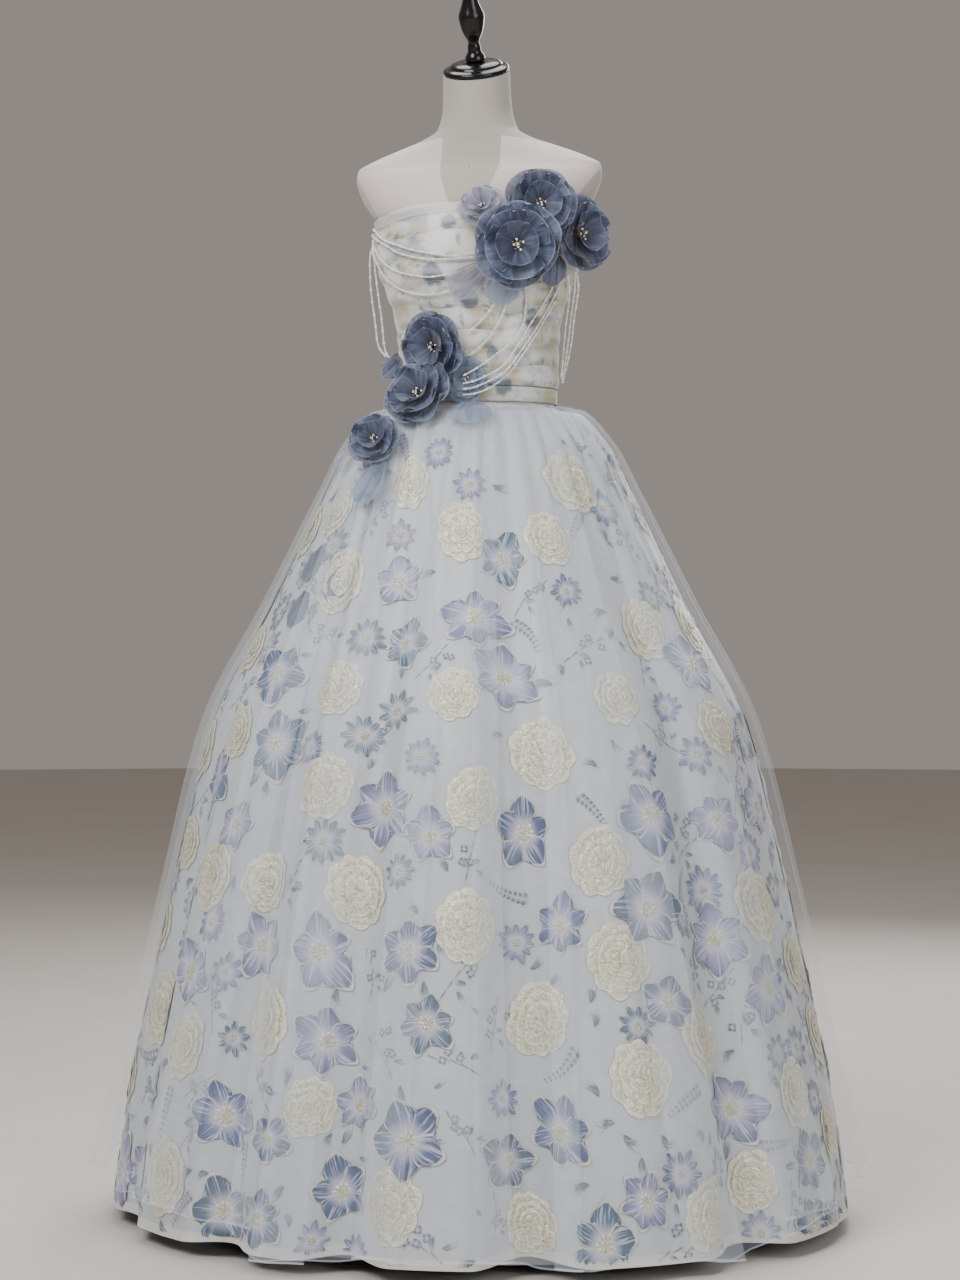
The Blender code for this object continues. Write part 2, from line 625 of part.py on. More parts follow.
def bodice_panel(name, first, last, columns):
    """A closed bodice wall: raised folds on its outside over a plain inside."""
    gap = half_gap(FIGURE.at("half_width", BAND_TOP))
    angles = [mix(first + gap, last - gap, i / columns) for i in range(columns + 1)]
    steps = BODICE_FOLDS * len(FOLD_SHAPE)
    outer = []
    for step in range(steps, -1, -1):
        rise = FOLD_RISE * FOLD_SHAPE[step % len(FOLD_SHAPE)]
        outer.append([bodice_point(angle, step / steps, rise) for angle in angles])
    inner = []
    for step in range(BODICE_INNER_ROWS, -1, -1):
        inner.append([bodice_point(angle, step / BODICE_INNER_ROWS, -BODICE_WALL) for angle in angles])
    points = [point for row in outer + inner for point in row]
    count = columns + 1
    start = len(outer) * count
    faces = grid_faces(len(outer), count)
    faces += grid_faces(len(inner), count, start, inward=True)
    outer_foot, inner_foot = start - count, len(points) - count
    for c in range(columns):
        faces.append((c, c + 1, start + c + 1, start + c))
        faces.append((outer_foot + c + 1, outer_foot + c, inner_foot + c, inner_foot + c + 1))
    for edge, flipped in ((0, False), (columns, True)):
        down = [r * count + edge for r in range(len(outer))]
        up = [start + r * count + edge for r in range(len(inner) - 1, -1, -1)]
        faces.append(tuple(reversed(down + up)) if not flipped else tuple(down + up))
    return finish(add_object(name, mesh_of(name, points, faces)), "bodice", BODICE_SMOOTH)


def build_bodice():
    bodice_panel("bodice_front", -SIDE_SEAM, SIDE_SEAM, FRONT_COLUMNS)
    bodice_panel("bodice_back_right", SIDE_SEAM, 180.0, BACK_COLUMNS)
    bodice_panel("bodice_back_left", 180.0, 360.0 - SIDE_SEAM, BACK_COLUMNS)
    angles = [360.0 * i / BAND_COLUMNS for i in range(BAND_COLUMNS)]
    out = BAND_EASE + 0.5 * BAND_WALL
    band = [[figure_point(angle, z, out) for angle in angles] for z in (BAND_TOP, BAND_BOTTOM)]
    cloth("waistband", band, BAND_WALL, "band", around=True)


# Skirts


def build_overlay(name, pleats, before, after, first, last):
    grid = []
    for down in CLOTH_LEVELS:
        row = []
        for angle, layer, rise in overlay_path(pleats, before, after, first, last, down):
            row.append(skirt_point(down, angle, overlay_inset(angle, layer, down), rise))
        grid.append(row)
    cloth(name, grid, SHEER_WALL, "overlay")


def build_floral(name, first, last):
    grid = []
    for down in CLOTH_LEVELS:
        gap = half_gap(SKIRT.at("half_width", down))
        gather = SKIRT.at("gather", down)
        row = []
        for i in range(FLORAL_COLUMNS + 1):
            angle = mix(first + gap, last - gap, i / FLORAL_COLUMNS)
            swing = 0.0 if i in (0, FLORAL_COLUMNS) else gather * (-1) ** i
            row.append(floral_point(angle, down, swing))
        grid.append(row)
    cloth(name, grid, FLORAL_WALL, "floral")


def build_lining(name, first, last):
    grid = []
    for down in LINING_LEVELS:
        gap = half_gap(SKIRT.at("half_width", down))
        angles = [mix(first + gap, last - gap, i / LINING_COLUMNS) for i in range(LINING_COLUMNS + 1)]
        grid.append([lining_point(angle, down) for angle in angles])
    cloth(name, grid, LINING_WALL, "lining")


def build_skirts():
    build_lining("lining_front", -SIDE_SEAM, SIDE_SEAM)
    build_lining("lining_back", SIDE_SEAM, 360.0 - SIDE_SEAM)
    build_floral("floral_skirt_front", -SIDE_SEAM, SIDE_SEAM)
    build_floral("floral_skirt_back", SIDE_SEAM, 360.0 - SIDE_SEAM)
    before_front = shifted(BACK_PLEATS[-1], -360.0)
    after_back = shifted(FRONT_PLEATS[0], 360.0)
    build_overlay(
        "overlay_front", FRONT_PLEATS, before_front, BACK_PLEATS[0], -SIDE_SEAM, SIDE_SEAM,
    )
    build_overlay(
        "overlay_back", BACK_PLEATS, FRONT_PLEATS[-1], after_back, SIDE_SEAM, 360.0 - SIDE_SEAM,
    )


# Flowers, petals and strands


def on_cloth(carrier, angle, z, out):
    """Point at a distance out from a cloth: the bodice's or skirt's outside, or the floral skirt."""
    if carrier == "bodice":
        return figure_point(angle, z, BODICE_EASE + BODICE_WALL + out)
    if carrier == "floral":
        return floral_point(angle, level_of(z), out)
    return skirt_point(level_of(z), angle, -out)


def frame_on(carrier, angle, z, out, side=0.0, up=0.0):
    """A frame on the cloth: its Z axis out of the cloth, tilted, and its Y axis upwards."""
    origin = on_cloth(carrier, angle, z, out)
    along = on_cloth(carrier, angle + 1.0, z, out) - on_cloth(carrier, angle - 1.0, z, out)
    upwards = on_cloth(carrier, angle, z + FRAME_STEP, out) - on_cloth(carrier, angle, z - FRAME_STEP, out)
    axis = along.cross(upwards).normalized()
    across = along.normalized()
    axes = Matrix((across, axis.cross(across), axis)).transposed().to_4x4()
    tilt = Matrix.Rotation(math.radians(side), 4, "Y") @ Matrix.Rotation(math.radians(-up), 4, "X")
    return Matrix.Translation(origin) @ axes @ tilt


def petal_edge(column, shift):
    """Radius share at a column of a flower with notches between its petals."""
    notch = (column + shift) % COLUMNS_PER_PETAL == 0
    return PETAL_NOTCH if notch else 1.0


def build_flower(flower):
    place = frame_on(flower.carrier, flower.angle, flower.z, flower.lift, flower.side, flower.up)
    place = place @ Matrix.Rotation(math.radians(flower.turn), 4, "Z")
    columns = flower.petals * COLUMNS_PER_PETAL
    shifts = {"inner": 1, "outer": 0}
    rings = []
    for radius, height, kind in PETAL_RINGS:
        ring = []
        for column in range(columns):
            edge = 1.0 if kind == "round" else petal_edge(column, shifts[kind])
            turn = 2.0 * math.pi * column / columns
            reach = flower.radius * radius * edge
            rise = flower.radius * height * flower.cup
            ring.append(place @ Vector((reach * math.cos(turn), reach * math.sin(turn), rise)))
        rings.append(ring)
    top = place @ Vector((0.0, 0.0, flower.radius * STAMEN_HEIGHT * flower.cup))
    lofted(flower.name, rings, flower.colour, top, place @ Vector((0.0, 0.0, 0.0)))


def build_petal(petal):
    """A loose petal that follows the cloth it lies on, cupped at its edges."""
    turn = math.radians(petal.turn)
    radius = (on_cloth(petal.carrier, petal.angle, petal.z, 0.0) * Vector((1.0, 1.0, 0.0))).length
    grid = []
    for along, width in PETAL_SHAPE:
        row = []
        for side in PETAL_COLUMNS:
            x = 0.5 * petal.width * width * side
            y = -petal.length * along
            angle = petal.angle + math.degrees((x * math.cos(turn) - y * math.sin(turn)) / radius)
            z = petal.z + x * math.sin(turn) + y * math.cos(turn)
            out = mix(petal.root, petal.tip, along * along) + petal.cup * side * side
            row.append(on_cloth(petal.carrier, angle, z, out))
        grid.append(row)
    cloth(petal.name, grid, PETAL_WALL, petal.colour)


def smooth_route(points, step):
    """Points at even steps along a smooth curve through a route's own points."""
    ends = [2 * points[0] - points[1]] + points + [2 * points[-1] - points[-2]]
    fine = []
    for p, a, b, q in zip(ends, ends[1:], ends[2:], ends[3:]):
        for i in range(ROUTE_STEPS):
            t = i / ROUTE_STEPS
            fine.append(0.5 * (2 * a + (b - p) * t + (2 * p - 5 * a + 4 * b - q) * t * t
                               + (3 * a - p - 3 * b + q) * t ** 3))
    fine.append(points[-1])
    lengths = [0.0]
    for a, b in zip(fine, fine[1:]):
        lengths.append(lengths[-1] + (b - a).length)
    count = max(2, round(lengths[-1] / step))
    route, i = [], 0
    for n in range(count + 1):
        want = lengths[-1] * n / count
        while i < len(fine) - 2 and lengths[i + 1] < want:
            i += 1
        route.append(fine[i].lerp(fine[i + 1], (want - lengths[i]) / (lengths[i + 1] - lengths[i])))
    return route


def build_strand(name, stops):
    route = smooth_route([on_cloth("bodice", *stop) for stop in stops], STRAND_STEP)
    curve = bpy.data.curves.new(name, "CURVE")
    curve.dimensions = "3D"
    curve.bevel_depth = STRAND_RADIUS
    curve.bevel_resolution = 2
    curve.use_fill_caps = True
    spline = curve.splines.new("POLY")
    spline.points.add(len(route) - 1)
    for point, place in zip(spline.points, route):
        point.co = (*place, 1.0)
    finish(add_object(name, curve), "pearl")


def build_gown():
    for known in list(bpy.data.objects):
        bpy.data.objects.remove(known)
    build_stand()
    build_form()
    build_bodice()
    build_skirts()
    for flower in FLOWERS:
        build_flower(flower)
    for petal in PETALS:
        build_petal(petal)
    for name, stops in STRANDS.items():
        build_strand(name, stops)


build_gown()
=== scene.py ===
"""Looks of a strapless ball gown on a limbless dress form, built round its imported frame.

Metres, +Z up. The gown faces -Y, and the origin is on the floor, on the axis of the stand. Angles round
the body are in degrees from the front, positive towards +X. Lengths along a cloth are in metres too.
"""

import math
from collections import namedtuple

import bmesh
import bpy
import numpy as np
from mathutils import Matrix, Vector


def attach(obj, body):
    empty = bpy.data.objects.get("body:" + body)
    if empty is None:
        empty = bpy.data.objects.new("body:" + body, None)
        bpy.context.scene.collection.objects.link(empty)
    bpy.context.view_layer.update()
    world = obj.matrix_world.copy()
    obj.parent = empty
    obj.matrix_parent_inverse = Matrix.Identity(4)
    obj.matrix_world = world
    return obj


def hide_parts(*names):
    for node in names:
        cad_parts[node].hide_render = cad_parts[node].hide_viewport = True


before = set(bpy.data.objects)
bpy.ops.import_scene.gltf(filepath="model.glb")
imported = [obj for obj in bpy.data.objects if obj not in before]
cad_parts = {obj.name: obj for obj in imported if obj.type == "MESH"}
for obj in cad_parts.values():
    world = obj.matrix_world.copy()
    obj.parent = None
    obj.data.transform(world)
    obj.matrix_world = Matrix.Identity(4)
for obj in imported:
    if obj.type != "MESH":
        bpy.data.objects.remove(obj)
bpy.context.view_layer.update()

# Seams and cloth, as the solids have them
SEAM_GAP = 0.0003
BODICE_WALL = 0.0015
BODICE_EASE = 0.0034
BAND_WALL = 0.0025
BAND_EASE = 0.0022
BAND_BOTTOM = 1.1685
BAND_TOP = 1.191
NECKLINE_FRONT = 1.446
NECKLINE_SIDE = 1.430
NECKLINE_BACK = 1.400
NECK_TILT = math.radians(25.0)
NECK_TILT_FROM = 1.568
LAST_ROW = 9
MIDDLE_ROW = 6
SLOPE_STEP = 0.05
SIDE_SEAM = 90.0
OVERLAY_RECESS = 0.6
TUCK_AT_WAIST = 0.6
PANEL_STEP = 11.0
FLORAL_HEM_DROP = 0.016
FLORAL_RECESS_RISE = 0.35
LINING_CLEAR = 0.062
LINING_WAVE = 0.005
LINING_WAVES = 8
LINING_HEM_DROP = 0.006
BODICE_FOLDS = 8
FOLD_RISE = 0.0028
FOLD_SAG = 0.020
FRAME_STEP = 0.002
ROUTE_STEPS = 16

# Dress form: the half width, front and back depth of each level, and how far its middle leans back
FIGURE_COLUMNS = ("z", "half_width", "front", "back", "lean")
FIGURE_ROWS = (
    (0.975, 0.150, 0.108, 0.118, 0.000),
    (1.010, 0.153, 0.112, 0.120, 0.000),
    (1.070, 0.143, 0.107, 0.110, 0.000),
    (1.125, 0.122, 0.096, 0.096, 0.000),
    (1.168, 0.1105, 0.088, 0.086, 0.000),
    (1.230, 0.1105, 0.090, 0.086, 0.000),
    (1.285, 0.1140, 0.098, 0.090, 0.000),
    (1.330, 0.127, 0.111, 0.095, 0.000),
    (1.365, 0.140, 0.120, 0.098, 0.000),
    (1.400, 0.145, 0.117, 0.101, 0.000),
    (1.430, 0.144, 0.106, 0.103, 0.000),
    (1.448, 0.157, 0.099, 0.101, 0.000),
    (1.470, 0.171, 0.088, 0.097, 0.000),
    (1.500, 0.181, 0.070, 0.086, 0.000),
    (1.514, 0.179, 0.058, 0.076, 0.000),
    (1.526, 0.158, 0.054, 0.070, 0.000),
    (1.541, 0.119, 0.052, 0.064, 0.000),
    (1.555, 0.080, 0.050, 0.060, -0.002),
    (1.568, 0.059, 0.049, 0.056, -0.004),
    (1.600, 0.050, 0.047, 0.051, -0.008),
    (1.650, 0.048, 0.046, 0.048, -0.014),
)

# Skirt: the outer form from waistband to hem, the gaps between its layers, the swing of the gathers, and
# the share of each deep recess and of the uneven hem that a level has
SKIRT_COLUMNS = (
    "z", "half_width", "front", "back", "layer_gap", "under_gap", "lining_gap", "gather", "recess", "hem",
)
SKIRT_ROWS = (
    (1.1675, 0.1195, 0.0960, 0.0940, 0.0016, 0.0017, 0.0017, 0.0001, 0.00, 0.0),
    (1.1645, 0.1228, 0.0995, 0.0975, 0.0022, 0.0022, 0.0022, 0.0002, 0.00, 0.0),
    (1.1620, 0.1500, 0.1260, 0.1260, 0.0027, 0.0028, 0.0030, 0.0008, 0.00, 0.0),
    (1.1200, 0.1950, 0.1680, 0.1720, 0.0036, 0.0045, 0.0055, 0.0018, 0.02, 0.0),
    (1.0330, 0.2420, 0.2120, 0.2220, 0.0045, 0.0055, 0.0080, 0.0012, 0.08, 0.0),
    (0.8800, 0.3200, 0.2840, 0.3000, 0.0060, 0.0060, 0.0100, 0.0004, 0.25, 0.0),
    (0.7200, 0.4040, 0.3550, 0.3850, 0.0065, 0.0070, 0.0120, 0.0000, 0.45, 0.0),
    (0.5000, 0.4610, 0.4080, 0.4500, 0.0060, 0.0092, 0.0120, 0.0000, 0.65, 0.0),
    (0.2600, 0.5140, 0.4550, 0.5050, 0.0060, 0.0080, 0.0140, 0.0000, 0.82, 0.2),
    (0.0450, 0.5655, 0.5000, 0.5600, 0.0115, 0.0125, 0.0160, 0.0000, 1.00, 1.0),
)

# Deep recesses of the skirts: where each lies, its half width, and its depth at the hem
RECESSES = (
    (-60.0, 9.0, 0.020),
    (-31.0, 8.0, 0.030),
    (-10.0, 8.0, 0.042),
    (18.0, 9.0, 0.060),
    (55.0, 10.0, 0.042),
    (113.0, 10.0, 0.030),
    (137.0, 10.0, 0.035),
    (180.0, 10.0, 0.055),
    (223.0, 10.0, 0.035),
    (247.0, 9.0, 0.030),
)

# Pleat folds of the overlay: faces -1 where the fold opens to smaller angles and 1 to larger ones, its
# angle at waist, middle and hem, how far the cloth is tucked under, and the rise of the hem there
Pleat = namedtuple("Pleat", "faces waist middle hem tuck rise")
FRONT_PLEATS = (
    Pleat(-1, -76.0, -72.0, -74.0, 8.0, 0.030),
    Pleat(-1, -58.0, -38.0, -47.0, 10.0, 0.026),
    Pleat(-1, -48.0, -26.0, -25.5, 3.0, 0.020),
    Pleat(-1, -42.0, -20.0, -21.5, 7.5, -0.020),
    Pleat(-1, -33.0, -3.0, -6.0, 6.0, -0.010),
    Pleat(1, 20.0, 14.0, 15.0, 5.0, -0.004),
    Pleat(-1, 30.0, 23.0, 21.0, 4.0, -0.015),
    Pleat(1, 50.0, 42.0, 49.0, 9.0, -0.018),
    Pleat(1, 76.0, 64.0, 71.0, 12.0, 0.020),
)
BACK_PLEATS = (
    Pleat(1, 102.0, 102.0, 102.0, 8.0, 0.028),
    Pleat(1, 124.0, 124.0, 124.0, 9.0, 0.012),
    Pleat(1, 148.0, 148.0, 148.0, 9.0, -0.006),
    Pleat(1, 172.0, 172.0, 172.0, 7.0, -0.012),
    Pleat(-1, 188.0, 188.0, 188.0, 7.0, -0.012),
    Pleat(-1, 212.0, 212.0, 212.0, 9.0, -0.006),
    Pleat(-1, 236.0, 236.0, 236.0, 9.0, 0.012),
    Pleat(-1, 258.0, 258.0, 258.0, 8.0, 0.028),
)

# Where each flower is sewn: its middle, how far it stands off, its size, its cupping, and how it turns
# and tilts
Flower = namedtuple("Flower", "name carrier angle z lift radius cup petals turn side up colour")
FLOWERS = (
    Flower("flower_neck_lilac", "bodice", 11.0, 1.436, 0.007, 0.035, 1.0, 5, 20.0, -10.0, 12.0, "lilac"),
    Flower("flower_neck_side", "bodice", 73.0, 1.407, 0.006, 0.050, 1.0, 6, 10.0, -10.0, 0.0, "slate"),
    Flower("flower_neck_top", "bodice", 38.0, 1.441, 0.020, 0.046, 1.0, 5, 50.0, -5.0, 8.0, "slate"),
    Flower("flower_neck_front", "bodice", 28.0, 1.381, 0.036, 0.053, 1.0, 6, 0.0, -14.0, -8.0, "slate"),
    Flower("flower_waist_top", "bodice", -19.0, 1.246, 0.006, 0.046, 1.0, 6, 15.0, -4.0, 0.0, "slate"),
    Flower("flower_waist_low", "bodice", -22.0, 1.173, 0.037, 0.046, 1.0, 6, 40.0, 0.0, 28.0, "slate"),
    Flower("flower_hip", "skirt", -33.0, 1.106, 0.007, 0.035, 1.0, 5, 0.0, 20.0, -8.0, "slate"),
    Flower("flower_waist_pale", "bodice", 1.0, 1.200, 0.004, 0.032, 0.4, 5, 30.0, 0.0, 0.0, "pale"),
)

# Loose petals: the cloth each lies on, where its root is, its length and width, how it turns from
# straight down, how far its root and its tip stand off, and how much its edges are cupped
Petal = namedtuple("Petal", "name carrier angle z length width turn root tip cup colour")
PETALS = (
    Petal("petal_neck_left", "bodice", 13.0, 1.354, 0.056, 0.040, -42.0, 0.0110, 0.0120, 0.0012, "lilac"),
    Petal("petal_neck_middle", "bodice", 25.0, 1.350, 0.050, 0.046, 0.0, 0.0110, 0.0125, 0.0012, "pale"),
    Petal("petal_neck_right", "bodice", 54.0, 1.371, 0.042, 0.044, 15.0, 0.0110, 0.0130, 0.0012, "slate"),
    Petal("petal_waist_left", "bodice", -58.0, 1.238, 0.040, 0.036, -50.0, 0.0070, 0.0260, 0.0012, "slate"),
    Petal("petal_waist_back", "bodice", -62.0, 1.222, 0.032, 0.030, -95.0, 0.0060, 0.0160, 0.0012, "slate"),
    Petal("petal_waist_pale", "skirt", 6.0, 1.1615, 0.032, 0.046, 5.0, 0.0030, 0.0040, 0.0012, "pale"),
    Petal("petal_hip_low", "skirt", -27.0, 1.078, 0.064, 0.048, -10.0, 0.0030, 0.0070, 0.0012, "pale"),
    Petal("petal_hip_left", "skirt", -48.0, 1.100, 0.036, 0.030, -60.0, 0.0030, 0.0060, 0.0012, "lilac"),
    Petal("petal_veiled_high", "floral", -46.0, 0.968, 0.052, 0.040, -20.0, 0.0016, 0.0016, 0.0004, "slate"),
    Petal("petal_veiled_right", "floral", -33.0, 0.940, 0.050, 0.034, -4.0, 0.0020, 0.0020, 0.0, "slate"),
    Petal("petal_veiled_low", "floral", -45.0, 0.905, 0.050, 0.040, -8.0, 0.0016, 0.0016, 0.0004, "slate"),
)

# Bead strands: each route's points as angle, height and distance out from the bodice
STRANDS = {
    "swag_1": (
        (-86, 1.428, 0.0060), (-67, 1.4205, 0.0065), (-51, 1.402, 0.0065), (-37, 1.390, 0.0065),
        (-28, 1.382, 0.0065), (-15, 1.374, 0.0065), (-4, 1.3695, 0.0065), (5, 1.3715, 0.0065),
        (14, 1.377, 0.0065),
    ),
    "swag_2": (
        (-86, 1.421, 0.0060), (-69, 1.4115, 0.0065), (-47, 1.3915, 0.0065), (-37, 1.379, 0.0065),
        (-23, 1.369, 0.0065), (-11, 1.3655, 0.0065), (0, 1.3655, 0.0065), (9, 1.3675, 0.0065),
        (15, 1.370, 0.0065),
    ),
    "swag_3": (
        (-86, 1.413, 0.0060), (-66, 1.3965, 0.0065), (-54, 1.371, 0.0065), (-40, 1.353, 0.0065),
        (-22, 1.343, 0.0065), (-12, 1.343, 0.0065), (0, 1.347, 0.0065), (10, 1.357, 0.0065),
        (15, 1.362, 0.0065),
    ),
    "swag_4": (
        (-86, 1.405, 0.0060), (-68, 1.384, 0.0065), (-58, 1.354, 0.0065), (-49, 1.336, 0.0065),
        (-35, 1.323, 0.0065), (-21, 1.318, 0.0065), (-7, 1.322, 0.0065), (4, 1.332, 0.0065),
        (15, 1.346, 0.0065), (20, 1.356, 0.0065),
    ),
    "loop_left_1": (
        (-95, 1.424, 0.006), (-92, 1.405, 0.010), (-90, 1.382, 0.014), (-88, 1.339, 0.024),
        (-86, 1.295, 0.032), (-82, 1.258, 0.030), (-73, 1.240, 0.020),
    ),
    "loop_left_2": (
        (-99, 1.419, 0.006), (-96, 1.400, 0.009), (-94, 1.379, 0.010), (-92, 1.336, 0.017),
        (-90, 1.292, 0.024), (-86, 1.254, 0.022), (-79, 1.238, 0.014),
    ),
    "loop_right_1": (
        (79, 1.358, 0.006), (90, 1.335, 0.008), (97, 1.308, 0.012), (98, 1.264, 0.014),
        (97, 1.232, 0.011), (96, 1.206, 0.006),
    ),
    "loop_right_2": (
        (85, 1.352, 0.007), (96, 1.334, 0.012), (102, 1.293, 0.019), (103, 1.262, 0.019),
        (102, 1.230, 0.014), (101, 1.202, 0.007),
    ),
    "loop_right_3": (
        (72, 1.350, 0.006), (83, 1.322, 0.008), (89, 1.278, 0.010), (91, 1.242, 0.009), (91, 1.209, 0.006),
    ),
    "sweep_1": (
        (24, 1.314, 0.006), (21, 1.305, 0.006), (16, 1.290, 0.006), (10, 1.276, 0.006), (3, 1.264, 0.006),
    ),
    "sweep_2": (
        (31, 1.336, 0.006), (29, 1.309, 0.006), (24, 1.279, 0.006), (15, 1.252, 0.006),
        (5.7, 1.2356, 0.006), (0, 1.231, 0.006),
    ),
    "sweep_3": (
        (39, 1.340, 0.006), (42, 1.3035, 0.006), (41, 1.276, 0.006), (30.5, 1.2485, 0.006),
        (21, 1.232, 0.008), (10, 1.215, 0.0125), (0, 1.203, 0.0125),
    ),
    "sweep_4": (
        (62, 1.341, 0.006), (57.5, 1.3126, 0.006), (48, 1.2807, 0.006), (37.5, 1.2476, 0.006),
        (28, 1.2215, 0.0100), (20, 1.2085, 0.0175), (8, 1.196, 0.0140), (0, 1.192, 0.0130),
    ),
    "sweep_5": (
        (67, 1.336, 0.006), (62.5, 1.3065, 0.006), (53, 1.2743, 0.006), (41, 1.242, 0.006),
        (30, 1.2145, 0.0100), (21, 1.200, 0.0175), (8, 1.187, 0.0140), (0, 1.184, 0.0130),
    ),
    "sweep_6": (
        (67, 1.312, 0.006), (60.5, 1.288, 0.006), (49, 1.2545, 0.006), (39, 1.228, 0.006),
        (30, 1.206, 0.0075), (18, 1.187, 0.0125), (8, 1.178, 0.0125), (0, 1.176, 0.0125),
    ),
}

PETAL_SHAPE = ((0.0, 0.40), (0.35, 0.88), (0.70, 1.00), (1.0, 0.45))
CAP_PROFILE = (
    (0.0, 0.0), (0.0465, 0.0), (0.0480, 0.003), (0.0470, 0.007), (0.0380, 0.009), (0.0365, 0.013),
    (0.0260, 0.016), (0.0, 0.016),
)
FINIAL_PROFILE = (
    (0.0, 0.0), (0.0150, 0.0), (0.0140, 0.008), (0.0095, 0.014), (0.0095, 0.022), (0.0070, 0.028),
    (0.0150, 0.042), (0.0178, 0.056), (0.0195, 0.066), (0.0140, 0.078), (0.0085, 0.096), (0.0075, 0.108),
    (0.0095, 0.116), (0.0065, 0.125), (0.0, 0.128),
)

# Camera and light
CAMERA_TURN = 12.0
CAMERA_AWAY = 4.0
CAMERA_HEIGHT = 0.83
CAMERA_LENS = 77.6
CAMERA_SHIFT = 0.0012
FLOOR_RADIUS = 14.0
FLOOR_DROP = -0.0005
LAMP_AIM = (0.0, 0.0, 0.95)
LAMPS = (
    ("key", (-1.3, -3.2, 3.4), 2.2, 170.0),
    ("fill", (2.9, -2.6, 1.9), 2.2, 60.0),
    ("top", (0.0, 0.6, 3.8), 2.4, 90.0),
    ("behind", (0.6, 3.4, 2.4), 2.4, 70.0),
)
WORLD_COLOUR = (0.36, 0.33, 0.30, 1.0)
WORLD_STRENGTH = 0.8

# Detail of the visible pieces
BEAD_PITCH = 0.00262
SEED_BEAD = 0.00140
LARGE_BEAD = 0.00200
LARGE_BEAD_EVERY = 7
FORM_COLUMNS = 144
YOKE_HALF_WIDTH = 0.043
YOKE_FOOT = 1.430
YOKE_FALL = 0.075
PLATE_ANGLE = 24.0
PLATE_MIDDLE = 1.460
PLATE_HALF_HEIGHT = 0.046
DOT_HEIGHT = 1.506
FOLD_STEPS = np.array((0.97, 0.90, 0.80, 0.68, 0.55, 0.42, 0.30, 0.20, 0.13, 0.07, 0.03, 0.01, 0.0))
FOLD_WANDER = 0.22
FLORAL_GATHERS = 40
FLORAL_WAVE = 0.0020
OVERLAY_PARTS = 4
OVERLAY_ALPHA = 0.10
EDGE_ALPHA = 0.28
WAIST_SQUEEZE = 0.62
STAMENS = 11
FLOWER_SPREAD = {"slate": 1.17, "lilac": 1.04, "pale": 1.10}

# Patches of the bodice's blurred print, listed one by one: angle, height and reach of each
PRINT_PATCHES = {
    "olive_patch": ((-55, 1.300, 0.030), (-30, 1.262, 0.022), (80, 1.250, 0.028), (150, 1.300, 0.030),
                    (-130, 1.270, 0.030), (62, 1.340, 0.018)),
    "white_patch": ((37, 1.270, 0.024), (-12, 1.395, 0.026), (-48, 1.350, 0.020), (120, 1.330, 0.026),
                    (200, 1.260, 0.028), (20, 1.330, 0.018)),
    "teal_patch": ((-17, 1.348, 0.020), (-7, 1.420, 0.014), (50, 1.287, 0.017), (28, 1.190, 0.018),
                   (5, 1.310, 0.017), (66, 1.320, 0.014), (135, 1.250, 0.020), (-105, 1.330, 0.020),
                   (190, 1.360, 0.020), (20, 1.235, 0.013)),
}

# Woven motifs: kind, smallest and largest radius, and how many
MOTIF_SEED = 7
MOTIF_SPACE = 0.76
MOTIF_LIFT = 0.0007
MOTIF_KINDS = (
    ("peony", 0.040, 0.056, 92),
    ("bloom", 0.044, 0.064, 112),
    ("daisy", 0.027, 0.036, 110),
    ("fern", 0.026, 0.034, 40),
    ("spray", 0.026, 0.036, 100),
    ("leaf", 0.014, 0.020, 130),
)


class Table:
    """Rows of named columns, read between the rows along smooth curves that never overshoot."""

    def __init__(self, columns, rows, key=None):
        values = np.array(rows, float)
        self.keys = values[:, columns.index(key)] if key else np.arange(len(rows), dtype=float)
        self.columns = {name: values[:, i] for i, name in enumerate(columns)}
        self.slopes = {name: self.slopes_of(column) for name, column in self.columns.items()}

    def slopes_of(self, values):
        rates = np.diff(values) / np.diff(self.keys)
        before, after = rates[:-1], rates[1:]
        level = before * after <= 0.0
        inner = np.where(level, 0.0, 2.0 * before * after / np.where(level, 1.0, before + after))
        return np.concatenate(([rates[0]], inner, [rates[-1]]))

    def at(self, name, key):
        key = np.asarray(key, float)
        values, slopes = self.columns[name], self.slopes[name]
        i = np.clip(np.searchsorted(self.keys, key, side="right") - 1, 0, len(self.keys) - 2)
        step = self.keys[i + 1] - self.keys[i]
        t = (key - self.keys[i]) / step
        start = values[i] * (1 + 2 * t) * (1 - t) ** 2 + slopes[i] * step * t * (1 - t) ** 2
        end = values[i + 1] * t * t * (3 - 2 * t) + slopes[i + 1] * step * t * t * (t - 1)
        return start + end


FIGURE = Table(FIGURE_COLUMNS, FIGURE_ROWS, "z")
SKIRT = Table(SKIRT_COLUMNS, SKIRT_ROWS)
PETAL_WIDTHS = Table(("along", "width"), PETAL_SHAPE, "along")


# Shapes shared with the solids


def mix(a, b, share):
    return a + (b - a) * share


def stacked(*parts):
    return np.stack(np.broadcast_arrays(*parts), axis=-1)


def smooth(value, low, high):
    share = np.clip((value - low) / (high - low), 0.0, 1.0)
    return share * share * (3.0 - 2.0 * share)


def swell(angle, seed, waves):
    """An even flow of waves round the body, from -1 to 1 or so, that closes on itself."""
    rng = np.random.default_rng(seed)
    turn = np.radians(angle)
    total = 0.0
    for count in waves:
        total = total + rng.uniform(0.6, 1.0) * np.sin(count * turn + rng.uniform(0.0, 2.0 * math.pi))
    return total / math.sqrt(len(waves))


def round_body(angle, half_width, front, back):
    """Point of an oval round the body, whose front and back halves differ in depth."""
    turn = np.radians(angle)
    depth = np.where(np.cos(turn) > 0.0, front, back)
    return half_width * np.sin(turn), -depth * np.cos(turn)


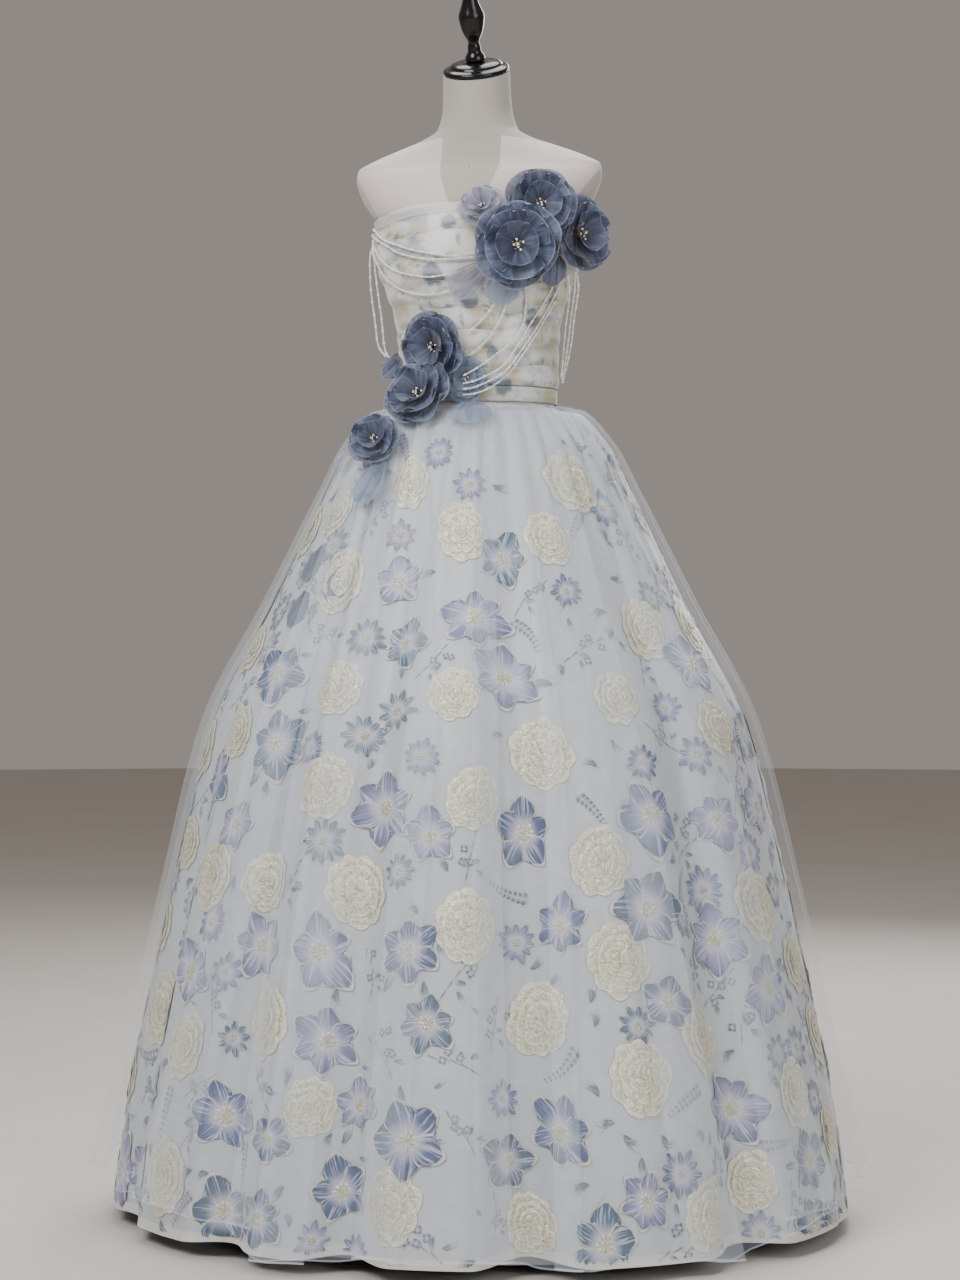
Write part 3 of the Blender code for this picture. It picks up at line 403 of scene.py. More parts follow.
def figure_point(angle, z, out=0.0):
    """Point of the dress form's surface, moved out by a distance."""
    sizes = (FIGURE.at(name, z) + out for name in ("half_width", "front", "back"))
    x, y = round_body(angle, *sizes)
    tilt = np.maximum(0.0, z - NECK_TILT_FROM) / (FIGURE_ROWS[-1][0] - NECK_TILT_FROM)
    return stacked(x, y + FIGURE.at("lean", z), z + tilt * math.tan(NECK_TILT) * y)


def neckline(angle):
    c = np.cos(np.radians(angle))
    return mix(NECKLINE_SIDE, np.where(c > 0.0, NECKLINE_FRONT, NECKLINE_BACK), c * c)


def half_gap(radius):
    """Half a seam's gap as an angle at a radius."""
    return np.degrees(0.5 * SEAM_GAP / radius)


def outward(down):
    """The skirt form's outward direction at a level, as its radial and upward parts."""
    low, high = np.maximum(0.0, down - SLOPE_STEP), np.minimum(LAST_ROW, down + SLOPE_STEP)
    radial = SKIRT.at("half_width", high) - SKIRT.at("half_width", low)
    upward = SKIRT.at("z", high) - SKIRT.at("z", low)
    length = np.hypot(radial, upward)
    return -upward / length, radial / length


def skirt_point(down, angle, inset, rise=0.0):
    """Point of the skirt's outer form at a level, moved in by an inset, with its hem raised."""
    radial, upward = outward(down)
    sizes = (SKIRT.at(name, down) - inset * radial for name in ("half_width", "front", "back"))
    x, y = round_body(angle, *sizes)
    return stacked(x, y, SKIRT.at("z", down) - inset * upward + rise * SKIRT.at("hem", down))


DOWNS = np.linspace(0.0, LAST_ROW, 3601)
LEVEL_Z = SKIRT.at("z", DOWNS)
STEPS = np.hypot(np.diff(SKIRT.at("half_width", DOWNS)), np.diff(LEVEL_Z))
SLANTS = np.concatenate(([0.0], np.cumsum(STEPS)))


def level_of(z):
    """The level of the skirt's outer form that lies at a height."""
    return np.interp(-np.asarray(z, float), -LEVEL_Z, DOWNS)


def recess(angle, down):
    """How far the deep recesses draw the cloth in."""
    depth = 0.0
    for centre, half_width, deepest in RECESSES:
        away = np.abs((angle - centre + 180.0) % 360.0 - 180.0) / half_width
        depth = depth + np.where(away < 1.0, deepest * np.cos(0.5 * math.pi * np.minimum(away, 1.0)) ** 2, 0.0)
    return depth * SKIRT.at("recess", down)


def waist_share(down):
    """How far a level's pleats have closed towards the waist, from the middle level up."""
    width, middle, waist = (SKIRT.at("half_width", row) for row in (down, MIDDLE_ROW, 0))
    return np.maximum(0.0, (middle / width - 1.0) / (middle / waist - 1.0))


def hem_share(down):
    width, middle, hem = (SKIRT.at("half_width", row) for row in (down, MIDDLE_ROW, LAST_ROW))
    return np.maximum(0.0, (width - middle) / (hem - middle))


def pleat_angle(pleat, down):
    to_waist = (pleat.waist - pleat.middle) * waist_share(down)
    to_hem = (pleat.hem - pleat.middle) * hem_share(down)
    return float(pleat.middle + to_waist + to_hem)


def shifted(pleat, turn):
    """The same pleat, counted a full turn on or back."""
    return pleat._replace(waist=pleat.waist + turn, middle=pleat.middle + turn, hem=pleat.hem + turn)


def fold_path(pleat, down):
    """Angle, layer and hem rise along the cloth where it folds back and under, with rising angle."""
    angle = pleat_angle(pleat, down)
    tuck = float(pleat.tuck * mix(1.0, TUCK_AT_WAIST, waist_share(down)))
    turn = math.degrees(0.5 * SKIRT.at("layer_gap", down) / SKIRT.at("half_width", down))
    over = [(0.0, 0.0), (-turn, 0.5), (0.0, 1.0)]
    under = [(tuck, 1.0), (tuck, 2.0), (0.5 * tuck, 2.0), (-3.0 * turn, 2.0)]
    path = over + under
    if pleat.faces < 0:
        return [(angle + step, layer, pleat.rise) for step, layer in reversed(path)]
    return [(angle - step, layer, pleat.rise) for step, layer in path]


def steps_between(before, after):
    """How many points a flat panel needs between two pleats."""
    width = after.hem - before.hem - before.tuck * (before.faces < 0) - after.tuck * (after.faces > 0)
    return max(1, round(width / PANEL_STEP))


def point_between(start, end, share):
    return tuple(mix(a, b, share) for a, b in zip(start, end))


def overlay_path(pleats, before, after, first, last, down):
    """The cloth's path from one side seam to the other at a level."""
    before_end = fold_path(before, down)[-1]
    after_start = fold_path(after, down)[0]
    folds = [fold_path(pleat, down) for pleat in pleats]
    gap = half_gap(SKIRT.at("half_width", down))
    share = (first + gap - before_end[0]) / (folds[0][0][0] - before_end[0])
    path = [point_between(before_end, folds[0][0], share)]
    counts = [1] + [steps_between(a, b) for a, b in zip(pleats, pleats[1:])]
    for fold, count in zip(folds, counts):
        start = path[-1]
        path += [point_between(start, fold[0], i / (count + 1)) for i in range(1, count + 1)]
        path += fold
    share = (last - gap - path[-1][0]) / (after_start[0] - path[-1][0])
    seam = point_between(path[-1], after_start, share)
    return path + [point_between(path[-1], seam, 0.5), seam]


def overlay_inset(angle, layer, down):
    drawn_in = OVERLAY_RECESS * recess(angle, down) * (0.5 * layer) ** 2
    return layer * SKIRT.at("layer_gap", down) + drawn_in


def floral_inset(angle, down):
    return 2.0 * SKIRT.at("layer_gap", down) + SKIRT.at("under_gap", down) + recess(angle, down)


def floral_point(angle, down, out=0.0):
    """Point of the floral skirt with its gathers and soft waves, moved out by a distance."""
    rise = FLORAL_RECESS_RISE * recess(angle, LAST_ROW) - FLORAL_HEM_DROP
    gathers = SKIRT.at("gather", down) * np.cos(np.radians(FLORAL_GATHERS * angle))
    waves = FLORAL_WAVE * SKIRT.at("recess", down) * swell(angle, 5, (26, 41, 58))
    return skirt_point(down, angle, floral_inset(angle, down) - out - gathers - waves, rise)


def lining_point(angle, down):
    clear = LINING_CLEAR * SKIRT.at("recess", down)
    wave = LINING_WAVE * SKIRT.at("recess", down) * np.cos(np.radians(LINING_WAVES * 2 * angle))
    gaps = 2.0 * SKIRT.at("layer_gap", down) + SKIRT.at("under_gap", down) + SKIRT.at("lining_gap", down)
    return skirt_point(down, angle, gaps + clear + wave, -LINING_HEM_DROP)


def bodice_height(angle, share):
    """Height of a draped fold line: straight at the waist, sagging between, and on the neckline above."""
    c = np.maximum(0.0, np.cos(np.radians(angle)))
    sag = FOLD_SAG * np.sin(math.pi * share) * c * c
    return mix(BAND_TOP + SEAM_GAP, neckline(angle), share) - sag


def on_cloth(carrier, angle, z, out):
    """Point at a distance out from a cloth: the bodice's or skirt's outside, or the floral skirt."""
    if carrier == "bodice":
        return figure_point(angle, z, BODICE_EASE + BODICE_WALL + out)
    if carrier == "floral":
        return floral_point(angle, level_of(z), out)
    return skirt_point(level_of(z), angle, -out)


def frame_on(carrier, angle, z, out, side=0.0, up=0.0):
    """A frame on the cloth: its Z axis out of the cloth, tilted, and its Y axis upwards."""
    origin, left, right, low, high = (
        Vector(on_cloth(carrier, a, height, out))
        for a, height in (
            (angle, z), (angle - 1.0, z), (angle + 1.0, z), (angle, z - FRAME_STEP), (angle, z + FRAME_STEP),
        )
    )
    across = (right - left).normalized()
    axis = (right - left).cross(high - low).normalized()
    axes = Matrix((across, axis.cross(across), axis)).transposed().to_4x4()
    tilt = Matrix.Rotation(math.radians(side), 4, "Y") @ Matrix.Rotation(math.radians(-up), 4, "X")
    return Matrix.Translation(origin) @ axes @ tilt


def smooth_route(points, step):
    """Points at even steps along a smooth curve through a route's own points."""
    ends = [2 * points[0] - points[1]] + points + [2 * points[-1] - points[-2]]
    fine = []
    for p, a, b, q in zip(ends, ends[1:], ends[2:], ends[3:]):
        for i in range(ROUTE_STEPS):
            t = i / ROUTE_STEPS
            fine.append(0.5 * (2 * a + (b - p) * t + (2 * p - 5 * a + 4 * b - q) * t * t
                               + (3 * a - p - 3 * b + q) * t ** 3))
    fine = np.array(fine + [points[-1]])
    lengths = np.concatenate(([0.0], np.cumsum(np.linalg.norm(np.diff(fine, axis=0), axis=1))))
    want = np.linspace(0.0, lengths[-1], max(2, round(lengths[-1] / step)) + 1)
    return np.stack([np.interp(want, lengths, fine[:, k]) for k in range(3)], axis=1)


# Meshes


def quads_of(rows, columns, around=False):
    """Quads of a grid whose rows run down and whose columns run towards rising angles."""
    r, c = np.meshgrid(np.arange(rows - 1), np.arange(columns - (not around)), indexing="ij")
    a = r * columns + c
    b = r * columns + (c + 1) % columns
    return np.stack((a, a + columns, b + columns, b), axis=-1).reshape(-1, 4)


def add_piece(name, points, faces, finish, replaces=(), fields=None, sharp=None):
    """A mesh that rides with the gown, with fields of numbers at its points for its finish."""
    mesh = bpy.data.meshes.new(name)
    points = np.asarray(points, float).reshape(-1, 3)
    mesh.from_pydata(points.tolist(), [], [list(face) for face in faces])
    for field, values in (fields or {}).items():
        values = np.asarray(values, np.float32).reshape(len(points), -1)
        kinds = {1: ("FLOAT", "value"), 3: ("FLOAT_VECTOR", "vector"), 4: ("FLOAT_COLOR", "color")}
        kind, socket = kinds[values.shape[1]]
        mesh.attributes.new(field, kind, "POINT").data.foreach_set(socket, values.ravel())
    mesh.shade_smooth()
    if sharp is not None:
        mesh.set_sharp_from_angle(angle=math.radians(sharp))
    for material in finish if isinstance(finish, (list, tuple)) else [finish]:
        mesh.materials.append(material)
    piece = bpy.data.objects.new(name, mesh)
    bpy.context.scene.collection.objects.link(piece)
    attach(piece, "root")
    if replaces:
        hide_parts(*replaces)
    return piece


def add_grid(name, grid, finish, replaces=(), fields=None, around=False):
    """One sheet of cloth through a grid of points."""
    faces = quads_of(grid.shape[0], grid.shape[1], around).tolist()
    return add_piece(name, grid, faces, finish, replaces, fields)


def spline_columns(rows, parts):
    """Rows of control points refined along each row by a smooth curve that keeps the row's ends."""
    control = np.concatenate(
        (2 * rows[:, :1] - rows[:, 1:2], rows, 2 * rows[:, -1:] - rows[:, -2:-1]), axis=1,
    )
    t = np.arange(parts)[:, None] / parts
    shares = ((1 - t) ** 3, 3 * t ** 3 - 6 * t * t + 4, -3 * t ** 3 + 3 * t * t + 3 * t + 1, t ** 3)
    count = rows.shape[1] - 1
    pieces = sum(
        control[:, i:i + count, None, :] * share / 6.0 for i, share in enumerate(shares)
    )
    fine = pieces.reshape(len(rows), count * parts, -1)
    return np.concatenate((fine, rows[:, -1:]), axis=1)


def rounded(profile, cuts=2):
    """A turned profile with its corners eased."""
    line = np.array(profile, float)
    for _ in range(cuts):
        near, far = mix(line[:-1], line[1:], 0.25), mix(line[:-1], line[1:], 0.75)
        cut = np.stack((near, far), axis=1).reshape(-1, 2)
        line = np.concatenate((line[:1], cut, line[-1:]))
    return line


def add_turned(name, profile, sides, finish, replaces, place=None):
    """A turned piece from its profile of radius and height, from the bottom up."""
    line = rounded(profile)
    angles = np.radians(np.arange(sides) * 360.0 / sides)
    ring = stacked(np.cos(angles), np.sin(angles))
    body = [[0.0, 0.0, line[0, 1]]]
    for radius, height in line[1:-1]:
        body += [[radius * x, radius * y, height] for x, y in ring]
    body.append([0.0, 0.0, line[-1, 1]])
    faces = []
    rings = len(line) - 2
    for i in range(sides):
        j = (i + 1) % sides
        faces.append((0, 1 + j, 1 + i))
        for r in range(rings - 1):
            a, b = 1 + r * sides, 1 + (r + 1) * sides
            faces.append((a + i, a + j, b + j, b + i))
        last = 1 + (rings - 1) * sides
        faces.append((last + i, last + j, len(body) - 1))
    points = np.array(body)
    if place is not None:
        points = np.array([place @ Vector(point) for point in points])
    return add_piece(name, points, faces, finish, replaces, sharp=50.0)


def ball():
    """Points and faces of a small round bead of radius 1."""
    body = bmesh.new()
    bmesh.ops.create_icosphere(body, subdivisions=2, radius=1.0)
    points = np.array([vertex.co[:] for vertex in body.verts])
    faces = np.array([[vertex.index for vertex in face.verts] for face in body.faces])
    body.free()
    return points, faces


BALL_POINTS, BALL_FACES = ball()


def beads_at(places, radii, first=0):
    """Points and faces of a bead at each place."""
    points = (BALL_POINTS[None] * np.asarray(radii)[:, None, None] + np.asarray(places)[:, None]).reshape(-1, 3)
    starts = first + np.arange(len(places))[:, None, None] * len(BALL_POINTS)
    return points, (BALL_FACES[None] + starts).reshape(-1, 3).tolist()


def tube_along(line, radius, sides, first=0):
    """Points and faces of a thin thread along a line, closed at its ends."""
    line = np.asarray(line, float)
    along = np.gradient(line, axis=0)
    along /= np.linalg.norm(along, axis=1, keepdims=True)
    aside = np.cross(along, (0.0, 0.0, 1.0)) + np.array((1e-6, 0.0, 0.0))
    aside /= np.linalg.norm(aside, axis=1, keepdims=True)
    over = np.cross(aside, along)
    turns = np.radians(np.arange(sides) * 360.0 / sides)
    ring = aside[:, None] * np.cos(turns)[None, :, None] + over[:, None] * np.sin(turns)[None, :, None]
    radii = np.broadcast_to(np.asarray(radius, float), (len(line),))
    points = (line[:, None] + ring * radii[:, None, None]).reshape(-1, 3)
    faces = (quads_of(len(line), sides, around=True) + first).tolist()
    faces.append([first + i for i in range(sides)])
    faces.append([first + len(points) - 1 - i for i in range(sides)])
    return points, faces


# Finishes


def tone(red, green, blue):
    """A linear colour from screen values of 0 to 255."""
    parts = []
    for part in (red, green, blue):
        part /= 255.0
        parts.append(part / 12.92 if part <= 0.04045 else ((part + 0.055) / 1.055) ** 2.4)
    return (*parts, 1.0)


class Finish:
    """A material that is built node by node round one shader."""

    def __init__(self, name, **settings):
        self.material = bpy.data.materials.new(name)
        self.material.use_nodes = True
        self.tree = self.material.node_tree
        self.shader = self.tree.nodes["Principled BSDF"]
        for socket, value in settings.items():
            self.shader.inputs[socket.replace("_", " ")].default_value = value

    def feed(self, socket, value):
        if isinstance(value, bpy.types.NodeSocket):
            self.tree.links.new(value, socket)
        else:
            socket.default_value = value

    def node(self, kind, values=(), **settings):
        node = self.tree.nodes.new(kind)
        for key, value in settings.items():
            setattr(node, key, value)
        for key, value in dict(values).items():
            self.feed(node.inputs[key], value)
        return node

    def field(self, name):
        """A field of numbers at the mesh's points, as a vector."""
        return self.node("ShaderNodeAttribute", attribute_name=name).outputs["Vector"]

    def number(self, name):
        return self.node("ShaderNodeAttribute", attribute_name=name).outputs["Fac"]

    def colour_of(self, name):
        return self.node("ShaderNodeAttribute", attribute_name=name).outputs["Color"]

    def place(self):
        return self.node("ShaderNodeTexCoord").outputs["Object"]

    def parts(self, vector):
        return self.node("ShaderNodeSeparateXYZ", {0: vector}).outputs

    def maths(self, operation, *values):
        return self.node("ShaderNodeMath", enumerate(values), operation=operation).outputs[0]

    def scaled(self, vector, scale, shift=(0.0, 0.0, 0.0)):
        node = self.node("ShaderNodeVectorMath", {0: vector, 1: scale, 2: shift}, operation="MULTIPLY_ADD")
        return node.outputs[0]

    def noise(self, vector, scale, detail=2.0, twist=0.0):
        values = {"Vector": vector, "Scale": scale, "Detail": detail, "Distortion": twist}
        return self.node("ShaderNodeTexNoise", values).outputs[0]

    def cells(self, vector, scale):
        return self.node("ShaderNodeTexVoronoi", {"Vector": vector, "Scale": scale}).outputs["Distance"]

    def between(self, value, low, high, start=0.0, end=1.0):
        """A value eased from start to end as it passes from low to high."""
        values = {0: value, 1: low, 2: high, 3: start, 4: end}
        return self.node("ShaderNodeMapRange", values, interpolation_type="SMOOTHSTEP").outputs[0]

    def blend(self, share, first, second, kind="MIX"):
        values = {0: share, 6: first, 7: second}
        node = self.node("ShaderNodeMix", values, data_type="RGBA", blend_type=kind)
        return node.outputs[2]

    def weave(self, vector, pitch):
        """A plain weave of threads at a pitch, for a place along the cloth in metres."""
        across, along = self.parts(vector)[:2]
        wave = [
            self.maths("SINE", self.maths("MULTIPLY", part, 2.0 * math.pi / pitch))
            for part in (across, along)
        ]
        return self.maths("MULTIPLY_ADD", self.maths("MULTIPLY", *wave), 0.5, 0.5)

    def bump(self, height, strength, distance):
        values = {"Height": height, "Strength": strength, "Distance": distance}
        return self.node("ShaderNodeBump", values).outputs[0]

    def done(self, colour=None, roughness=None, normal=None):
        for socket, value in (("Base Color", colour), ("Roughness", roughness), ("Normal", normal)):
            if value is not None:
                self.feed(self.shader.inputs[socket], value)
        return self.material


BLOOM_TONES = (
    tone(54, 90, 118), tone(62, 82, 126), tone(92, 104, 148), tone(124, 124, 164), tone(78, 100, 122),
    tone(142, 144, 174),
)
LEAF_TONE = tone(96, 118, 134)


# Camera: level, a little to the gown's left, with the framing of the photograph


def add_camera():
    data = bpy.data.cameras.new("camera")
    data.sensor_fit = "AUTO"
    data.sensor_width = 36.0
    data.lens = CAMERA_LENS
    data.shift_x = CAMERA_SHIFT
    turn = math.radians(CAMERA_TURN)
    camera = bpy.data.objects.new("camera", data)
    camera.location = (CAMERA_AWAY * math.sin(turn), -CAMERA_AWAY * math.cos(turn), CAMERA_HEIGHT)
    camera.rotation_euler = (math.radians(90.0), 0.0, turn)
    bpy.context.scene.collection.objects.link(camera)
    bpy.context.scene.camera = camera


# Bead strands


def pearl_finish():
    finish = Finish("pearl_beads", Roughness=0.22, Coat_Weight=0.5, Coat_Roughness=0.08)
    place = finish.place()
    cloud = finish.noise(place, 420.0, 2.0)
    tint = finish.number("tint")
    base = finish.blend(tint, tone(236, 235, 232), tone(226, 220, 203))
    colour = finish.blend(finish.between(cloud, 0.40, 0.65), base, tone(250, 250, 252))
    return finish.done(colour, normal=finish.bump(cloud, 0.15, 0.0003))


def build_strand(name, stops, finish, seed):
    """Seed beads threaded close together, with a larger bead at even places, on their thread."""
    rng = np.random.default_rng(seed)
    route = smooth_route([Vector(on_cloth("bodice", *stop)) for stop in stops], BEAD_PITCH)
    middles = 0.5 * (route[1:] + route[:-1])
    large = np.arange(len(middles)) % LARGE_BEAD_EVERY == seed % LARGE_BEAD_EVERY
    radii = np.where(large, LARGE_BEAD, SEED_BEAD) * rng.uniform(0.94, 1.04, len(middles))
    points, faces = beads_at(middles, radii)
    tints = np.repeat(np.where(large, 0.0, rng.uniform(0.2, 1.0, len(middles))), len(BALL_POINTS))
    thread, sides = tube_along(route, 0.00035, 5, len(points))
    points = np.concatenate((points, thread))
    tints = np.concatenate((tints, np.full(len(thread), 1.0)))
    strand = add_piece(f"{name}_beads", points, faces + sides, finish, [name], {"tint": tints})


# Dress form and stand


def form_finish():
    """Tight cloth in a warm pale shade, with a greyer neck, yoke and arm plates."""
    finish = Finish("form_cloth", Roughness=0.8, Sheen_Weight=0.25, Sheen_Roughness=0.5)
    place = finish.place()
    grain = finish.noise(place, 900.0, 3.0)
    cloud = finish.noise(place, 9.0, 3.0)
    warm = finish.blend(cloud, tone(203, 192, 188), tone(214, 204, 199))
    grey = finish.blend(cloud, tone(168, 162, 154), tone(178, 172, 163))
    yoke = finish.between(finish.number("yoke"), -0.0006, 0.0006)
    plate = finish.between(finish.number("plate"), -0.0006, 0.0006)
    colour = finish.blend(yoke, warm, grey)
    colour = finish.blend(finish.maths("MULTIPLY", plate, 0.75), colour, tone(170, 163, 155))
    seam = finish.between(finish.number("seam"), 0.0, 0.0016)
    colour = finish.blend(seam, finish.blend(0.30, colour, tone(120, 108, 100)), colour)
    colour = finish.blend(finish.maths("MULTIPLY", grain, 0.16), colour, tone(120, 110, 104))
    dot = finish.between(finish.number("dot"), 0.0017, 0.0023)
    colour = finish.blend(dot, tone(66, 58, 54), colour)
    height = finish.maths("ADD", finish.maths("MULTIPLY", grain, 0.3), seam)
    return finish.done(colour, normal=finish.bump(height, 0.5, 0.0004))


def build_form():
    top = FIGURE_ROWS[-1][0]
    low = FIGURE_ROWS[0][0]
    angles = np.arange(FORM_COLUMNS) * 360.0 / FORM_COLUMNS
    heights = np.concatenate((np.linspace(top, 1.40, 130), np.linspace(1.40, low, 30)[1:]))
    angle, z = np.meshgrid(angles, heights)
    grid = figure_point(angle, z)
    # Yoke: a U whose sides close towards its foot, in front; a shallow curve behind
    x, height = np.abs(grid[..., 0]), grid[..., 2]
    front = grid[..., 1] < 0.0
    spread = YOKE_HALF_WIDTH * np.sqrt(np.clip((height - YOKE_FOOT) / YOKE_FALL, 0.0, 1.0))
    yoke = np.where(front, spread - x, np.where(height > 1.545, 0.01, -0.01) + 0.0 * x)
    collar = height - (1.545 + 0.010 * np.cos(np.radians(angle)) ** 2)
    yoke = np.where(front, np.maximum(np.minimum(yoke, 0.02), np.minimum(collar, 0.02)), np.minimum(collar, 0.02))
    aside = (np.abs(np.abs((angle + 180.0) % 360.0 - 180.0) - 90.0)) / PLATE_ANGLE
    plate = 1.0 - np.hypot(aside, (z - PLATE_MIDDLE) / PLATE_HALF_HEIGHT)
    plate = plate * PLATE_HALF_HEIGHT
    shoulder = np.where(z > 1.50, np.abs(grid[..., 1] - 0.004), 1.0)
    shoulder = np.where(z < 1.575, shoulder, 1.0)
    seam = np.minimum(np.minimum(np.abs(yoke), np.abs(plate)), shoulder)
    middle_back = np.where(front, 1.0, x)
    seam = np.minimum(seam, middle_back)
    dot = np.linalg.norm(grid - figure_point(0.0, DOT_HEIGHT), axis=-1)
    points = np.concatenate((grid.reshape(-1, 3), [figure_point(0.0, top) * (0.0, 1.0, 1.0)]))
    lean = float(FIGURE.at("lean", top))
    points[-1] = (0.0, lean, top)
    points = np.concatenate((points, [[0.0, 0.0, low]]))
    faces = quads_of(len(heights), FORM_COLUMNS, around=True).tolist()
    last = (len(heights) - 1) * FORM_COLUMNS
    for i in range(FORM_COLUMNS):
        j = (i + 1) % FORM_COLUMNS
        faces.append((j, i, len(points) - 2))
        faces.append((last + i, last + j, len(points) - 1))
    fields = {"yoke": yoke, "plate": plate, "seam": seam, "dot": dot}
    ends = {"yoke": 0.01, "plate": -0.01, "seam": 1.0, "dot": 1.0}
    fields = {key: np.append(value.ravel(), [ends[key]] * 2) for key, value in fields.items()}
    add_piece("form_cloth", points, faces, form_finish(), ["form_torso"], fields, sharp=60.0)


def turned_finish():
    """Black lacquer over turned wood, with faint turning rings."""
    finish = Finish("black_lacquer", Specular_IOR_Level=0.35)
    place = finish.place()
    rings = finish.noise(finish.scaled(place, (60.0, 60.0, 1400.0)), 1.0, 2.0)
    smear = finish.noise(place, 60.0, 3.0)
    colour = finish.blend(smear, tone(12, 11, 12), tone(24, 22, 22))
    roughness = finish.between(smear, 0.3, 0.8, 0.14, 0.26)
    return finish.done(colour, roughness, finish.bump(rings, 0.25, 0.0002))


def metal_finish():
    finish = Finish("brushed_steel", Metallic=1.0)
    place = finish.place()
    brush = finish.noise(finish.scaled(place, (900.0, 900.0, 12.0)), 1.0, 3.0)
    colour = finish.blend(brush, tone(150, 150, 152), tone(196, 196, 198))
    return finish.done(colour, finish.between(brush, 0.2, 0.8, 0.22, 0.42), finish.bump(brush, 0.2, 0.0002))


def base_finish():
    finish = Finish("base_paint")
    place = finish.place()
    speck = finish.noise(place, 700.0, 3.0)
    worn = finish.between(finish.noise(place, 30.0, 4.0), 0.62, 0.72)
    colour = finish.blend(worn, tone(34, 34, 37), tone(62, 61, 62))
    return finish.done(colour, finish.between(speck, 0.3, 0.7, 0.38, 0.56), finish.bump(speck, 0.35, 0.0003))


def build_stand():
    top = FIGURE_ROWS[-1][0]
    lean = Matrix.Translation((0.0, float(FIGURE.at("lean", top)), top)) @ Matrix.Rotation(NECK_TILT, 4, "X")
    lacquer = turned_finish()
    cap_place = lean @ Matrix.Translation((0.0, 0.0, SEAM_GAP))
    add_turned("cap_turned", CAP_PROFILE, 96, lacquer, ["neck_cap"], cap_place)
    above = CAP_PROFILE[-1][1] + 2 * SEAM_GAP
    add_turned(
        "finial_turned", FINIAL_PROFILE, 72, lacquer, ["finial"],
        lean @ Matrix.Translation((0.0, 0.0, above)),
    )
    for node, slot, finish in (("stand_pole", "pole", metal_finish()), ("stand_base", "base", base_finish())):
        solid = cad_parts[node]
        solid.data.materials.clear()
        solid.data.materials.append(finish)


# Bodice and waistband


def print_colour(finish, place):
    """A blurred floral print on cream organza, for a place along the cloth."""
    olive = finish.between(finish.noise(finish.scaled(place, (1.0, 1.7, 1.0)), 11.0, 2.0, 0.8), 0.45, 0.62)
    blue = finish.between(
        finish.noise(finish.scaled(place, (1.0, 1.4, 1.0), (3.1, 1.7, 0.0)), 13.0, 2.0, 1.4), 0.49, 0.66,
    )
    teal = finish.between(
        finish.noise(finish.scaled(place, (1.0, 1.2, 1.0), (7.3, 4.1, 0.0)), 21.0, 3.0, 2.2), 0.56, 0.67,
    )
    white = finish.between(
        finish.noise(finish.scaled(place, (1.0, 1.3, 1.0), (1.9, 8.2, 0.0)), 11.0, 1.0, 0.5), 0.52, 0.72,
    )
    veins = finish.between(
        finish.noise(finish.scaled(place, (1.0, 2.4, 1.0), (5.5, 2.2, 0.0)), 70.0, 3.0, 2.5), 0.56, 0.66,
    )
    ragged = finish.noise(place, 55.0, 3.0, 1.0)
    colour = finish.blend(olive, tone(204, 204, 198), tone(182, 176, 144))
    colour = finish.blend(blue, colour, tone(140, 152, 170))
    colour = finish.blend(white, colour, tone(224, 226, 225))
    colour = finish.blend(finish.maths("MULTIPLY", teal, 0.7), colour, tone(92, 110, 126))
    patches = (("olive_patch", tone(172, 166, 132)), ("white_patch", tone(232, 234, 233)),
               ("teal_patch", tone(70, 90, 110)))
    for key, shade in patches:
        near = finish.maths("ADD", finish.number(key), finish.maths("MULTIPLY", ragged, 0.9))
        colour = finish.blend(finish.between(near, 0.75, 1.15, 0.0, 0.8), colour, shade)
    return finish.blend(finish.maths("MULTIPLY", veins, 0.28), colour, tone(104, 110, 122))


def print_patches(angle, height):
    """How near each point is to the print's placed patches, by colour: 1 in the middle, 0 well away."""
    fields = {}
    for key, rows in PRINT_PATCHES.items():
        near = np.zeros(np.broadcast(angle, height).shape)
        for middle, level, reach in rows:
            turn = np.radians((angle - middle + 180.0) % 360.0 - 180.0)
            away = np.hypot(turn * 0.130, height - level) / reach
            near = np.maximum(near, np.clip(1.3 - away, 0.0, 1.0))
        fields[key] = near
    return fields


def bodice_finish():
    finish = Finish("bodice_organza", Roughness=0.62, Sheen_Weight=0.5, Sheen_Roughness=0.35)
    place = finish.field("cloth")
    colour = print_colour(finish, place)
    lip = finish.number("lip")
    # Painted shade: a faint darker band along the lower edge of each fold, under its bulge
    colour = finish.blend(finish.between(lip, 0.0, 0.14, 0.10, 0.0), colour, tone(130, 128, 122))
    # Lighter towards each fold's crest: partly the sheer cloth lying doubled there, partly a painted highlight
    sheer_and_highlight = finish.between(lip, 0.15, 0.45)
    sheer_and_highlight = finish.maths("MULTIPLY", sheer_and_highlight, finish.between(lip, 0.45, 0.9, 0.30, 0.0))
    colour = finish.blend(sheer_and_highlight, colour, tone(240, 242, 244))
    weave = finish.weave(place, 0.0009)
    crease = finish.noise(finish.scaled(place, (60.0, 420.0, 1.0)), 1.0, 3.0, 0.6)
    height = finish.maths("ADD", finish.maths("MULTIPLY", weave, 0.12), crease)
    return finish.done(colour, normal=finish.bump(height, 0.40, 0.0012))


